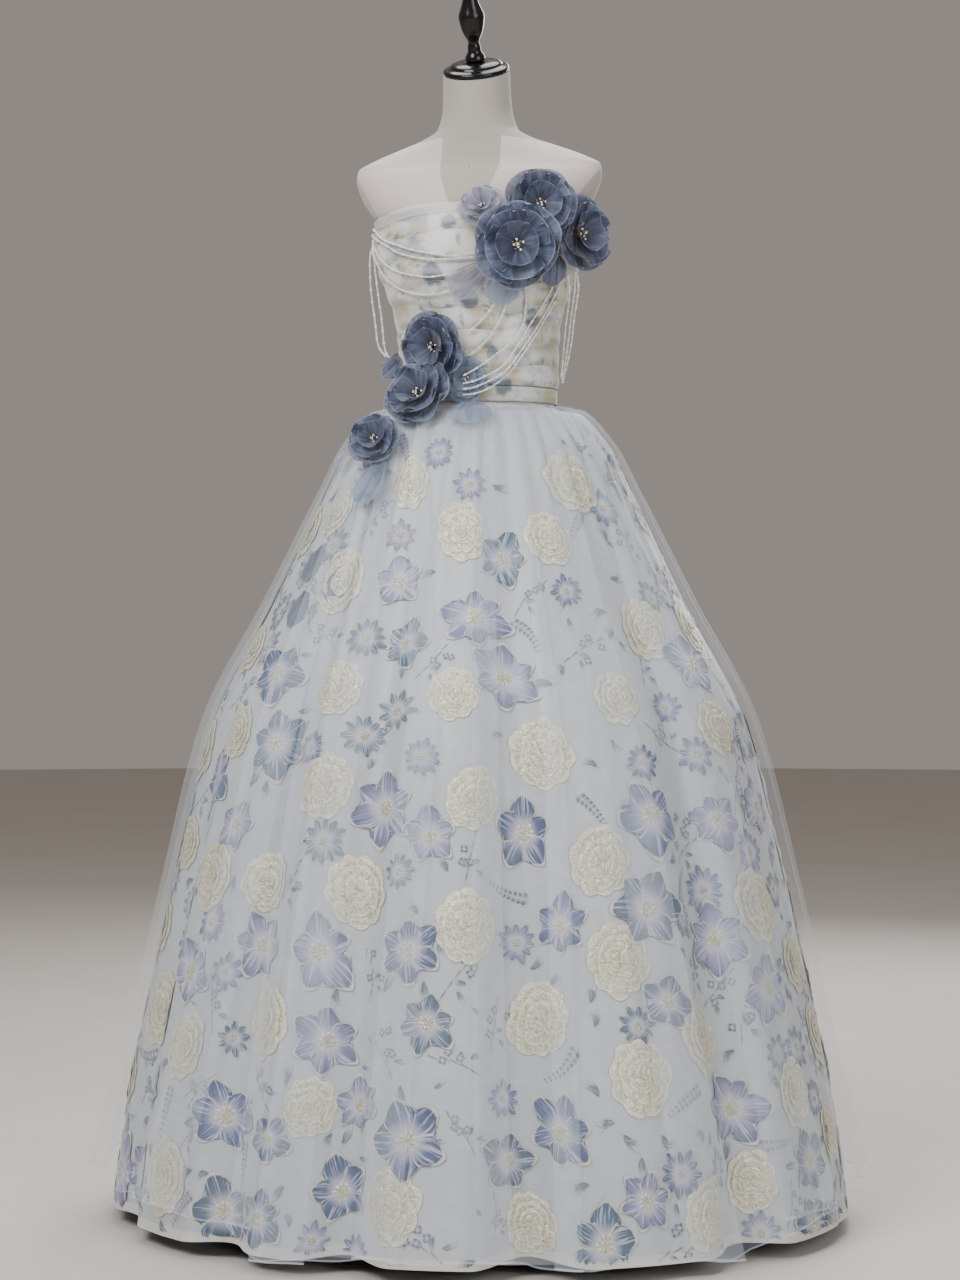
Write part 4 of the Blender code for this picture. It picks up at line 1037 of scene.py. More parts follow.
def bodice_grid(first, last, columns, out=0.0):
    """The draped folds of a bodice panel: grid, place along the cloth and height across each fold."""
    gap = float(half_gap(FIGURE.at("half_width", BAND_TOP)))
    angles = np.linspace(first + gap, last - gap, columns + 1)
    steps = np.concatenate([fold + FOLD_STEPS for fold in range(BODICE_FOLDS - 1, -1, -1)])
    steps = np.concatenate(([BODICE_FOLDS], steps))
    angle, step = np.meshgrid(angles, steps)
    fold = np.minimum(np.floor(step), BODICE_FOLDS - 1)
    across = step - fold
    ends = np.sin(math.pi * step / BODICE_FOLDS)
    wander = 0.0
    size = 0.0
    for k in range(BODICE_FOLDS):
        here = fold == k
        size = size + here * (0.80 + 0.24 * swell(angle, 40 + k, (2, 3, 5)))
        wander = wander + np.maximum(0.0, 1.0 - np.abs(step - k)) * swell(angle, 60 + k, (2, 4, 7))
    share = (step + FOLD_WANDER * ends * wander) / BODICE_FOLDS
    lip = np.sin(math.pi * across ** 0.78)
    fine = np.sin(np.radians(angle) * 23 + 5.0 * step + 2.0 * wander) * np.sin(np.radians(angle) * 9 + step)
    rise = FOLD_RISE * 0.85 * size * lip + 0.0004 * fine * ends
    height = bodice_height(angle, share)
    grid = figure_point(angle, height, BODICE_EASE + BODICE_WALL + rise + out)
    arc = np.radians(angle) * 0.135
    cloth = stacked(arc, height - NECKLINE_SIDE + 0.045 * (fold % 3) + 0.11 * (fold % 2), fold * 0.0)
    return grid, cloth, across, print_patches(angle, height)


def build_bodice():
    finish = bodice_finish()
    panels = (
        ("bodice_front", -SIDE_SEAM, SIDE_SEAM, 240),
        ("bodice_back_right", SIDE_SEAM, 180.0, 110),
        ("bodice_back_left", 180.0, 360.0 - SIDE_SEAM, 110),
    )
    for name, first, last, columns in panels:
        grid, cloth, across, patches = bodice_grid(first, last, columns)
        piece = add_grid(
            f"{name}_cloth", grid, finish, [name], {"cloth": cloth, "lip": across, **patches},
        )
        width = FIGURE.at("half_width", 1.365) * math.radians(last - first)


def trim_finish():
    """Doubled sheer cloth along an edge."""
    finish = Finish("sheer_trim", Roughness=0.6, Sheen_Weight=0.5, Alpha=0.5)
    place = finish.field("cloth")
    cloud = finish.noise(finish.scaled(place, (30.0, 90.0, 1.0)), 1.0, 2.0)
    colour = finish.blend(cloud, tone(214, 214, 212), tone(234, 235, 236))
    return finish.done(colour, normal=finish.bump(finish.weave(place, 0.0010), 0.2, 0.0003))


def build_edges():
    """The soft sheer edge of the neckline, the waistband and the closure down the back."""
    columns = 480
    angles = np.arange(columns) * 360.0 / columns
    steps = np.linspace(0.0, 1.0, 9)
    angle, step = np.meshgrid(angles, steps)
    soft = 0.0012 * swell(angle, 11, (5, 9, 14, 23))
    height = neckline(angle) + 0.0045 + soft - 0.0155 * step
    out = BODICE_EASE + BODICE_WALL + 0.0010 + 0.0034 * np.sin(math.pi * np.clip(step, 0.0, 0.8)) ** 0.6 + soft * 0.3
    grid = figure_point(angle, height, out)
    cloth = stacked(np.radians(angle) * 0.14, height, 0.0)
    trim = add_grid("neckline_trim", grid, trim_finish(), (), {"cloth": cloth}, around=True)

    finish = Finish("waistband_cloth", Roughness=0.6, Sheen_Weight=0.4)
    place = finish.field("cloth")
    colour = print_colour(finish, finish.scaled(place, (1.0, 1.0, 1.0), (2.4, 0.9, 0.0)))
    edge = finish.number("edge")
    colour = finish.blend(finish.between(edge, 0.84, 0.98, 0.0, 0.5), colour, tone(100, 102, 110))
    tuck = finish.noise(finish.scaled(place, (40.0, 700.0, 1.0)), 1.0, 2.0, 0.4)
    finish = finish.done(colour, normal=finish.bump(tuck, 0.35, 0.0010))
    steps = np.linspace(-1.0, 1.0, 15)
    angle, step = np.meshgrid(angles, steps)
    puff = BAND_EASE + BAND_WALL * (1.0 - 0.65 * step ** 6) + 0.0003 * np.sin(7.0 * step + swell(angle, 3, (4, 7)))
    height = 0.5 * (BAND_TOP + BAND_BOTTOM) - step * 0.5 * (BAND_TOP - BAND_BOTTOM)
    grid = figure_point(angle, height, puff)
    cloth = stacked(np.radians(angle) * 0.11, height, 0.0)
    fields = {"cloth": cloth, "edge": np.abs(step), **print_patches(angle, height)}
    band = add_grid("waistband_cloth", grid, finish, ["waistband"], fields, around=True)

    heights = np.linspace(NECKLINE_BACK - 0.001, BAND_BOTTOM + 0.002, 90)
    z, side = np.meshgrid(heights, np.linspace(-1.0, 1.0, 9), indexing="ij")
    out = BODICE_EASE + BODICE_WALL + FOLD_RISE + 0.0012 + 0.0012 * np.sqrt(np.clip(1.0 - side ** 2, 0.0, 1.0))
    out = out - 0.0012 * np.clip(1.0 - np.abs(side) / 0.15, 0.0, 1.0)
    grid = figure_point(180.0 + side * 2.4, z, out)
    cloth = stacked(side * 0.005, z, 0.0)
    placket = add_grid("back_placket", grid, trim_finish(), (), {"cloth": cloth})


# Skirts


def overlay_finish(name, alpha):
    finish = Finish(name, Roughness=0.55, Alpha=alpha, Sheen_Weight=0.35, Sheen_Roughness=0.4)
    place = finish.field("cloth")
    cloud = finish.noise(finish.scaled(place, (9.0, 2.0, 1.0)), 1.0, 3.0)
    streak = finish.noise(finish.scaled(place, (260.0, 5.0, 1.0)), 1.0, 3.0)
    colour = finish.blend(cloud, tone(204, 219, 235), tone(224, 234, 245))
    colour = finish.blend(finish.maths("MULTIPLY", streak, 0.4), colour, tone(238, 244, 250))
    weave = finish.weave(place, 0.0010)
    height = finish.maths("ADD", finish.maths("MULTIPLY", weave, 0.2), streak)
    return finish.done(colour, finish.between(cloud, 0.3, 0.7, 0.48, 0.62), finish.bump(height, 0.25, 0.0006))


def overlay_grid(pleats, before, after, first, last, levels, lift=0.0):
    """The overlay's cloth at some levels: its grid and its place along the cloth."""
    control = np.array([overlay_path(pleats, before, after, first, last, down) for down in levels])
    path = spline_columns(control, OVERLAY_PARTS)
    angle, layer, rise = path[..., 0], path[..., 1], path[..., 2]
    down = np.broadcast_to(levels[:, None], angle.shape)
    near_waist = smooth(down, 3.9, 0.6) * smooth(down, 0.0, 1.2)
    gathers = 0.0021 * near_waist * swell(angle, 21, (59, 83, 109))
    flutes = 0.0022 * SKIRT.at("recess", down) * swell(angle, 22, (19, 33, 47))
    drape = 0.0010 * smooth(down, 2.0, 4.0) * swell(angle + 2.0 * down, 23, (61, 83))
    uneven = 0.004 * swell(angle, 24, (9, 17, 31))
    inset = overlay_inset(angle, layer, down) - gathers - flutes - drape - lift
    grid = skirt_point(down, angle, inset, rise + uneven)
    arc = np.concatenate(
        (np.zeros((1,)), np.cumsum(np.linalg.norm(np.diff(grid[-1], axis=0), axis=1))),
    )
    slant = np.interp(levels, DOWNS, SLANTS)
    cloth = stacked(arc[None, :], slant[:, None], 0.0)
    return grid, cloth


def build_overlay():
    finish = overlay_finish("overlay_organza", OVERLAY_ALPHA)
    hem_finish = overlay_finish("overlay_edge", EDGE_ALPHA)
    levels = np.concatenate((np.linspace(0.0, 3.0, 45), np.linspace(3.0, LAST_ROW, 84)[1:]))
    before_front = shifted(BACK_PLEATS[-1], -360.0)
    after_back = shifted(FRONT_PLEATS[0], 360.0)
    halves = (
        ("overlay_front", FRONT_PLEATS, before_front, BACK_PLEATS[0], -SIDE_SEAM, SIDE_SEAM),
        ("overlay_back", BACK_PLEATS, FRONT_PLEATS[-1], after_back, SIDE_SEAM, 360.0 - SIDE_SEAM),
    )
    for name, pleats, before, after, first, last in halves:
        grid, cloth = overlay_grid(pleats, before, after, first, last, levels)
        hem_levels = LAST_ROW - np.array((0.010, 0.005, 0.0))
        hem, hem_cloth = overlay_grid(pleats, before, after, first, last, hem_levels, 0.0004)
        edge = add_grid(f"{name}_hem", hem, hem_finish, (), {"cloth": hem_cloth})
        sheet = add_grid(f"{name}_cloth", grid, finish, [name], {"cloth": cloth})


def floral_finish():
    """The ground of the woven floral organza: silvery, with faint threads down its length."""
    finish = Finish(
        "floral_ground", Roughness=0.42, Sheen_Weight=0.4, Sheen_Roughness=0.3, Specular_IOR_Level=0.6,
    )
    place = finish.field("cloth")
    cloud = finish.noise(finish.scaled(place, (7.0, 3.0, 1.0)), 1.0, 3.0)
    thread = finish.noise(finish.scaled(place, (900.0, 12.0, 1.0)), 1.0, 3.0)
    ghost = finish.between(finish.noise(finish.scaled(place, (24.0, 20.0, 1.0)), 1.0, 2.0, 1.5), 0.52, 0.62)
    colour = finish.blend(cloud, tone(168, 175, 183), tone(186, 191, 196))
    colour = finish.blend(finish.maths("MULTIPLY", ghost, 0.35), colour, tone(200, 200, 208))
    colour = finish.blend(finish.maths("MULTIPLY", thread, 0.25), colour, tone(212, 217, 224))
    weave = finish.weave(place, 0.0011)
    height = finish.maths("ADD", finish.maths("MULTIPLY", weave, 0.4), thread)
    return finish.done(colour, finish.between(thread, 0.3, 0.7, 0.36, 0.52), finish.bump(height, 0.22, 0.0005))


def hem_band_finish():
    finish = Finish("floral_hem", Roughness=0.6, Sheen_Weight=0.3)
    place = finish.field("cloth")
    cloud = finish.noise(finish.scaled(place, (25.0, 60.0, 1.0)), 1.0, 3.0)
    colour = finish.blend(cloud, tone(190, 190, 184), tone(214, 214, 208))
    return finish.done(colour, normal=finish.bump(finish.weave(place, 0.0012), 0.3, 0.0004))


def lining_finish():
    finish = Finish("lining_cloth", Roughness=0.7, Sheen_Weight=0.3)
    place = finish.field("cloth")
    cloud = finish.noise(finish.scaled(place, (6.0, 4.0, 1.0)), 1.0, 3.0)
    colour = finish.blend(cloud, tone(198, 203, 210), tone(216, 220, 225))
    return finish.done(colour, normal=finish.bump(finish.weave(place, 0.0012), 0.25, 0.0004))


def build_under_skirts():
    """The floral skirt and the lining, each in a front and a back."""
    floral, hem_band, lining = floral_finish(), hem_band_finish(), lining_finish()
    halves = (("front", -SIDE_SEAM, SIDE_SEAM), ("back", SIDE_SEAM, 360.0 - SIDE_SEAM))
    levels = np.concatenate((np.linspace(0.0, 3.0, 50), np.linspace(3.0, LAST_ROW, 90)[1:]))
    cloths = {}
    for side, first, last in halves:
        grids = {}
        for kind, point_at, columns in (("floral", floral_point, 230), ("lining", lining_point, 100)):
            down = levels[:, None]
            gap = half_gap(SKIRT.at("half_width", down))
            share = np.linspace(0.0, 1.0, columns + 1)[None, :]
            angle = mix(first + gap, last - gap, share)
            grid = point_at(angle, down)
            cloth = stacked(np.radians(angle) * 0.5, np.interp(down, DOWNS, SLANTS), 0.0)
            grids[kind] = (grid, cloth, angle)
        grid, cloth, angle = grids["floral"]
        hem = floral_point(angle[-1:], LAST_ROW - np.array([[0.06], [0.04], [0.02], [0.0]]), 0.0005)
        hem_cloth = stacked(np.radians(angle[-1:]) * 0.5, np.array([[0.0], [0.003], [0.006], [0.009]]), 0.0)
        edge = add_grid(f"floral_{side}_hem", hem, hem_band, (), {"cloth": hem_cloth})
        sheet = add_grid(
            f"floral_{side}_cloth", grid, floral, [f"floral_skirt_{side}"], {"cloth": cloth},
        )
        cloths[side] = (sheet, grid, edge)
        grid, cloth, angle = grids["lining"]
        sheet = add_grid(f"lining_{side}_cloth", grid, lining, [f"lining_{side}"], {"cloth": cloth})
    return cloths


# Woven flowers of the floral skirt


def motif_finish():
    """Woven flowers and leaves: streaks from root to tip, a deep band and a pale outline."""
    finish = Finish("woven_blooms", Roughness=0.40, Sheen_Weight=0.5, Sheen_Roughness=0.3)
    petal = finish.field("petal")
    across, along, _ = finish.parts(petal)
    tint = finish.colour_of("tint")
    side = finish.maths("ABSOLUTE", across)
    rim = finish.maths("MAXIMUM", side, along)
    streaks = finish.noise(finish.scaled(petal, (4.2, 0.55, 17.0)), 1.7, 3.0, 0.35)
    pale = finish.between(along, 0.10, 0.55, 0.75, 0.0)
    light = finish.maths("MAXIMUM", pale, finish.between(streaks, 0.52, 0.62, 0.0, 0.62))
    deep = finish.blend(1.0, tint, (0.42, 0.50, 0.62, 1.0), "MULTIPLY")
    body = finish.blend(finish.between(rim, 0.55, 0.86), tint, deep)
    body = finish.blend(finish.between(streaks, 0.50, 0.36, 0.0, 0.6), body, deep)
    colour = finish.blend(light, body, tone(214, 212, 224))
    colour = finish.blend(finish.between(rim, 0.88, 0.94, 0.0, 0.85), colour, tone(216, 214, 202))
    height = finish.maths("ADD", streaks, finish.between(rim, 0.84, 0.93))
    return finish.done(colour, finish.between(streaks, 0.4, 0.7, 0.30, 0.5), finish.bump(height, 0.6, 0.0010))


def gold_finish():
    """Crinkled pale gold thread, with shade and highlights painted on its crinkles and scallops."""
    finish = Finish("gold_thread", Metallic=0.25, Specular_IOR_Level=0.8)
    petal = finish.field("petal")
    across, along, _ = finish.parts(petal)
    place = finish.place()
    crinkle = finish.noise(place, 210.0, 4.0, 1.6)
    strokes = finish.cells(place, 300.0)
    side = finish.maths("ABSOLUTE", across)
    rim = finish.between(finish.maths("MAXIMUM", side, along), 0.62, 0.92)
    # Painted shade and highlight: darker in the crinkle's hollows, lighter on its raised ridges
    colour = finish.blend(finish.between(crinkle, 0.38, 0.58), tone(178, 172, 140), tone(222, 219, 194))
    # Painted shade: darker at each scallop's root, under the petals that lie over it
    colour = finish.blend(finish.between(along, 0.0, 0.45, 0.5, 0.0), colour, tone(166, 158, 122))
    # Painted highlight: lighter along each scallop's rim
    colour = finish.blend(finish.maths("MULTIPLY", rim, 0.55), colour, tone(240, 236, 210))
    # Painted glints: near-white spots on the highest crinkles; their lower roughness is real
    painted_glint = finish.between(crinkle, 0.58, 0.66)
    colour = finish.blend(finish.maths("MULTIPLY", painted_glint, 0.7), colour, tone(250, 247, 232))
    height = finish.maths("ADD", finish.maths("ADD", crinkle, finish.maths("MULTIPLY", strokes, 0.4)), rim)
    return finish.done(colour, finish.between(crinkle, 0.4, 0.65, 0.42, 0.26), finish.bump(height, 0.9, 0.0016))


def fan(root, reach, half_width, rows, columns, round_off=0.30, ruffle=0.0, point=0.0, phase=0.0):
    """A flat petal that grows along Y: its X and Y, and its place across and along it."""
    v = np.linspace(0.0, 1.0, rows)[:, None]
    u = np.linspace(-1.0, 1.0, columns)[None, :]
    width = 0.22 + 0.78 * np.sin(0.5 * math.pi * np.minimum(1.0, v / 0.66))
    width = width * (1.0 - point * np.maximum(0.0, (v - 0.5) / 0.5) ** 1.6)
    tip = 1.0 - round_off * u * u + ruffle * np.cos(5.0 * math.pi * u + phase)
    x = half_width * width * u
    y = root + (reach - root) * v * mix(1.0, tip, v ** 1.5)
    return x, y, u + 0.0 * v, v + 0.0 * u


class Weaving:
    """Small grids of points that lie on the floral skirt, gathered by half and finish."""

    def __init__(self):
        self.parts = {}
        self.count = 0

    def add(self, key, points, angle, down, petal, tint):
        rows, columns = angle.shape
        store = self.parts.setdefault(key, {"points": [], "faces": [], "petal": [], "tint": [], "size": 0})
        quads = quads_of(rows, columns)
        inside = (np.abs((angle + 180.0) % 360.0 - 180.0) <= SIDE_SEAM - 0.1).ravel()
        if key[1] == "back":
            inside = (np.abs((angle + 180.0) % 360.0 - 180.0) >= SIDE_SEAM + 0.1).ravel()
        inside &= ((down > 0.35) & (down < LAST_ROW - 0.02)).ravel()
        quads = quads[inside[quads].all(axis=1)]
        store["points"].append(points.reshape(-1, 3))
        store["faces"].append(quads + store["size"])
        store["petal"].append(petal.reshape(-1, 3))
        store["tint"].append(np.broadcast_to((*tint[:3], 1.0), (rows * columns, 4)))
        store["size"] += rows * columns
        self.count += 1

    def pieces(self, finishes):
        made = {"front": [], "back": []}
        for (kind, side), store in sorted(self.parts.items()):
            faces = np.concatenate(store["faces"])
            used, faces = np.unique(faces, return_inverse=True)
            fields = {
                "petal": np.concatenate(store["petal"])[used],
                "tint": np.concatenate(store["tint"])[used],
            }
            points = np.concatenate(store["points"])[used]
            name = f"{kind}_{side}"
            made[side].append(
                add_piece(name, points, faces.reshape(-1, 4).tolist(), finishes[kind], (), fields)
            )
        return made


class Motif:
    """One woven motif: its middle on the cloth, how it turns, and the shapes that it is made of."""

    def __init__(self, weaving, angle, slant, turn, rng):
        self.weaving, self.rng, self.turn = weaving, rng, turn
        self.angle, self.slant = angle, slant
        self.side = "front" if abs(angle) < SIDE_SEAM else "back"
        down = float(np.interp(slant, SLANTS, DOWNS))
        around = angle + np.linspace(-60.0, 60.0, 481)
        line = floral_point(around, down)
        length = np.concatenate(([0.0], np.cumsum(np.linalg.norm(np.diff(line, axis=0), axis=1))))
        self.around = around
        self.length = (length - length[240]) / mix(1.0, WAIST_SQUEEZE, float(waist_share(down)))

    def shape(self, kind, grid, height, tint, spin=0.0, shift=(0.0, 0.0), squash=1.0):
        """Lay one flat shape on the cloth, spun round the motif's middle after it is shifted."""
        x, y, across, along = grid
        x, y = x + shift[0], y + shift[1]
        turn = math.radians(spin)
        x, y = x * math.cos(turn) - y * math.sin(turn), x * math.sin(turn) + y * math.cos(turn)
        x = x * squash
        turn = math.radians(self.turn)
        x, y = x * math.cos(turn) - y * math.sin(turn), x * math.sin(turn) + y * math.cos(turn)
        angle = np.interp(x, self.length, self.around)
        down = np.interp(self.slant - y, SLANTS, DOWNS)
        points = floral_point(angle, down, MOTIF_LIFT + height)
        petal = stacked(across, along, float(self.weaving.count % 97))
        self.weaving.add((kind, self.side), points, angle, down, petal, tint)


def weave_peony(motif, radius):
    """Rings of scalloped petals round a full heart, in gold thread."""
    rng = motif.rng
    squash = rng.uniform(0.78, 0.95)
    rings = ((9, 0.40, 1.00, 0.34, 0.0), (7, 0.22, 0.72, 0.30, 0.0005), (5, 0.06, 0.45, 0.24, 0.0010),
             (3, 0.0, 0.22, 0.16, 0.0014))
    for count, root, reach, half, lift in rings:
        start = rng.uniform(0.0, 360.0)
        for i in range(count):
            size = radius * rng.uniform(0.92, 1.06)
            grid = fan(root * size, reach * size, half * size, 5, 7, 0.34, 0.03, 0.0, rng.uniform(0, 6))
            height = lift + 0.0012 * grid[3] * (1.0 - 0.5 * grid[2] ** 2) + 0.0002 * (i % 2)
            motif.shape("gold_motifs", grid, height, (1, 1, 1), start + i * 360.0 / count, squash=squash)


def weave_centre(motif, radius, tint, count=9):
    """Short strokes round a small disc."""
    for i in range(count):
        grid = fan(0.0, radius * motif.rng.uniform(0.8, 1.1), radius * 0.16, 4, 3, 0.2)
        motif.shape("gold_motifs", grid, 0.0012 + 0.0002 * grid[3], tint, i * 360.0 / count)


def weave_bloom(motif, radius, tint, petals):
    """An open flower of broad petals with notched tips."""
    rng = motif.rng
    squash = rng.uniform(0.82, 1.0)
    for i in range(petals):
        size = radius * rng.uniform(0.78, 1.10)
        half = size * math.sin(math.pi / petals) * rng.uniform(0.68, 0.80)
        grid = fan(0.05 * size, size, half, 8, 8, 0.50, 0.028, 0.18, rng.uniform(0, 6))
        height = 0.0004 + 0.0016 * grid[3] * (1.0 - 0.5 * grid[2] ** 2) + 0.0003 * (i % 2)
        spin = i * 360.0 / petals + rng.uniform(-6.0, 6.0)
        motif.shape("woven_blooms", grid, height, tint, spin, squash=squash)
    weave_centre(motif, 0.26 * radius, (1, 1, 1))


def weave_daisy(motif, radius, tint):
    """A small flower of narrow petals."""
    rng = motif.rng
    count = int(rng.integers(9, 13))
    for i in range(count):
        size = radius * rng.uniform(0.82, 1.08)
        grid = fan(0.14 * size, size, size * 0.19, 6, 5, 0.35, 0.0, 0.25)
        motif.shape("woven_blooms", grid, 0.0004 + 0.0004 * grid[3], tint, i * 360.0 / count)
    weave_centre(motif, 0.24 * radius, (1, 1, 1), 7)


def weave_leaf(motif, length, tint, spin, shift=(0.0, 0.0)):
    grid = fan(0.0, length, length * 0.20, 8, 5, 0.10, 0.0, 0.86)
    motif.shape("woven_blooms", grid, 0.0003 + 0.0003 * grid[3], tint, spin, shift)


def weave_spray(motif, length, tint):
    """A curved stem with leaves and clusters of tiny four-petalled flowers."""
    rng = motif.rng
    bend = rng.uniform(-0.5, 0.5)
    for i in range(5):
        at = i / 4.0
        x, y = bend * length * at * at * 0.5, length * (at - 0.5)
        grid = fan(0.0, length * 0.30, length * 0.012, 4, 3, 0.0)
        motif.shape("woven_blooms", grid, 0.0003, LEAF_TONE, -30.0 * bend * at, (x, y))
        if i % 2 == 0:
            weave_leaf(motif, length * 0.30, LEAF_TONE, 62.0 * (-1) ** (i // 2), (x, y))
    for i in range(4):
        x = rng.uniform(-0.32, 0.32) * length
        y = rng.uniform(-0.10, 0.60) * length
        turn = rng.uniform(0.0, 90.0)
        for k in range(4):
            grid = fan(0.0, length * 0.11, length * 0.045, 3, 3, 0.3)
            angle = math.radians(turn + 90.0 * k)
            gx = grid[0] * math.cos(angle) - grid[1] * math.sin(angle)
            gy = grid[0] * math.sin(angle) + grid[1] * math.cos(angle)
            motif.shape("woven_blooms", (gx, gy, grid[2], grid[3]), 0.0005, tint, 0.0, (x, y))


def weave_fern(motif, length, tint):
    """A curved feather of paired leaflets."""
    bend = motif.rng.uniform(-0.6, 0.6)
    for i in range(9):
        at = i / 8.0
        x, y = bend * length * (at - 0.5) ** 2, length * (at - 0.5)
        size = length * (0.20 - 0.12 * at)
        for hand in (-1, 1):
            grid = fan(0.0, size, size * 0.26, 5, 4, 0.2, 0.0, 0.7)
            turn = math.radians(hand * 52.0)
            gx = grid[0] * math.cos(turn) - grid[1] * math.sin(turn)
            gy = grid[0] * math.sin(turn) + grid[1] * math.cos(turn)
            motif.shape("woven_blooms", (gx, gy, grid[2], grid[3]), 0.0004, tint, 0.0, (x, y))


def scatter_motifs():
    """Middles of motifs, spread so that none crowds another: kind, radius, angle and slant."""
    rng = np.random.default_rng(MOTIF_SEED)
    placed = []
    total = SLANTS[-1]
    widths = SKIRT.at("half_width", DOWNS)
    for kind, radius_low, radius_high, wanted in MOTIF_KINDS:
        found = 0
        for _ in range(wanted * 60):
            if found == wanted:
                break
            slant = total * math.sqrt(rng.uniform(0.004, 1.0))
            angle = rng.uniform(-180.0, 180.0)
            radius = rng.uniform(radius_low, radius_high)
            down = float(np.interp(slant, SLANTS, DOWNS))
            spread = float(np.interp(slant, SLANTS, widths)) / mix(1.0, WAIST_SQUEEZE, float(waist_share(down)))
            if slant > total + 0.02 or any(
                math.hypot(math.radians((angle - a + 180.0) % 360.0 - 180.0) * spread, slant - s)
                < MOTIF_SPACE * (radius + r) + (0.04 if k == kind and kind == "peony" else 0.0)
                for k, r, a, s in placed
            ):
                continue
            placed.append((kind, radius, angle, slant))
            found += 1
    return placed


def build_motifs():
    weaving = Weaving()
    for i, (kind, radius, angle, slant) in enumerate(scatter_motifs()):
        rng = np.random.default_rng(1000 + i)
        motif = Motif(weaving, angle, slant, rng.uniform(-180.0, 180.0), rng)
        tint = BLOOM_TONES[int(rng.integers(len(BLOOM_TONES)))]
        if kind == "peony":
            motif.turn = rng.uniform(-25.0, 25.0)
            weave_peony(motif, radius)
        elif kind == "bloom":
            if rng.uniform() < 0.6:
                weave_leaf(motif, radius * 0.62, LEAF_TONE, 200.0, (0.0, radius * 0.62))
            weave_bloom(motif, radius, tint, int(rng.integers(5, 7)))
        elif kind == "daisy":
            weave_daisy(motif, radius, tint)
        elif kind == "spray":
            motif.turn = rng.uniform(-60.0, 60.0)
            weave_spray(motif, 2.0 * radius, tint)
        elif kind == "fern":
            weave_fern(motif, 2.0 * radius, tint)
        else:
            weave_leaf(motif, 1.6 * radius, LEAF_TONE, 0.0, (0.0, -0.8 * radius))
            weave_leaf(motif, 1.2 * radius, LEAF_TONE, 48.0, (0.0, -0.8 * radius))
    made = weaving.pieces({"gold_motifs": gold_finish(), "woven_blooms": motif_finish()})


# Organza flowers and loose petals


def organza_finish(name, colours, alpha):
    """Petal organza: deep towards the heart, clear in the middle, pale and thin at the rim."""
    deep, body, rim_tone = colours
    finish = Finish(name, Roughness=0.55, Alpha=alpha, Sheen_Weight=0.6, Sheen_Roughness=0.35)
    petal = finish.field("petal")
    across, along, _ = finish.parts(petal)
    fold = finish.noise(finish.scaled(petal, (3.2, 0.5, 5.3)), 1.6, 2.0, 0.3)
    cloud = finish.noise(finish.place(), 45.0, 2.0)
    rim = finish.number("rim")
    tint = finish.number("tint")
    colour = finish.blend(finish.between(along, 0.08, 0.60), deep, body)
    colour = finish.blend(finish.between(fold, 0.50, 0.64, 0.0, 0.35), colour, rim_tone)
    colour = finish.blend(finish.between(fold, 0.50, 0.38, 0.0, 0.45), colour, deep)
    colour = finish.blend(finish.between(cloud, 0.35, 0.65, 0.0, 0.22), colour, rim_tone)
    colour = finish.blend(finish.between(tint, 0.0, 1.0, 0.0, 0.35), colour, deep)
    colour = finish.blend(finish.between(rim, 0.62, 1.0, 0.0, 0.85), colour, rim_tone)
    return finish.done(colour, finish.between(cloud, 0.3, 0.7, 0.48, 0.62), finish.bump(fold, 0.35, 0.0014))


def cupped_petal(rng, root, reach, half_width, low, high, cup, curl, rows, columns):
    """A curved petal in its flower's frame, that grows along Y with Z out of the flower."""
    v = np.linspace(0.0, 1.0, rows)[:, None]
    u = np.linspace(-1.0, 1.0, columns)[None, :]
    phase = rng.uniform(0.0, 2.0 * math.pi, 3)
    width = 0.20 + 0.80 * np.sin(0.5 * math.pi * np.minimum(1.0, v / 0.70))
    tip = 1.0 - 0.26 * u * u - 0.12 * u ** 6 + 0.025 * np.sin(3.0 * u + phase[0])
    x = half_width * width * u * (1.0 - 0.10 * np.maximum(0.0, v - 0.75) * 4.0)
    y = root + (reach - root) * v * mix(1.0, tip, v * v)
    z = mix(low, high, v ** 1.1) + cup * u * u * np.sin(0.5 * math.pi * v)
    z = z - curl * np.maximum(0.0, (v - 0.72) / 0.28) ** 2 * (1.0 - 0.4 * u * u)
    z = z + 0.040 * reach * v ** 2 * np.sin(3.2 * u + phase[1])
    z = z + 0.016 * reach * (1.0 - v) * v * 4.0 * np.cos(3.0 * math.pi * u * (1.0 - 0.4 * v) + phase[2])
    rim = np.maximum(np.abs(u) ** 6 * np.minimum(1.0, v * 2.0), v ** 9)
    return stacked(x, y, z), u + 0.0 * v, v + 0.0 * u, rim + 0.0 * u


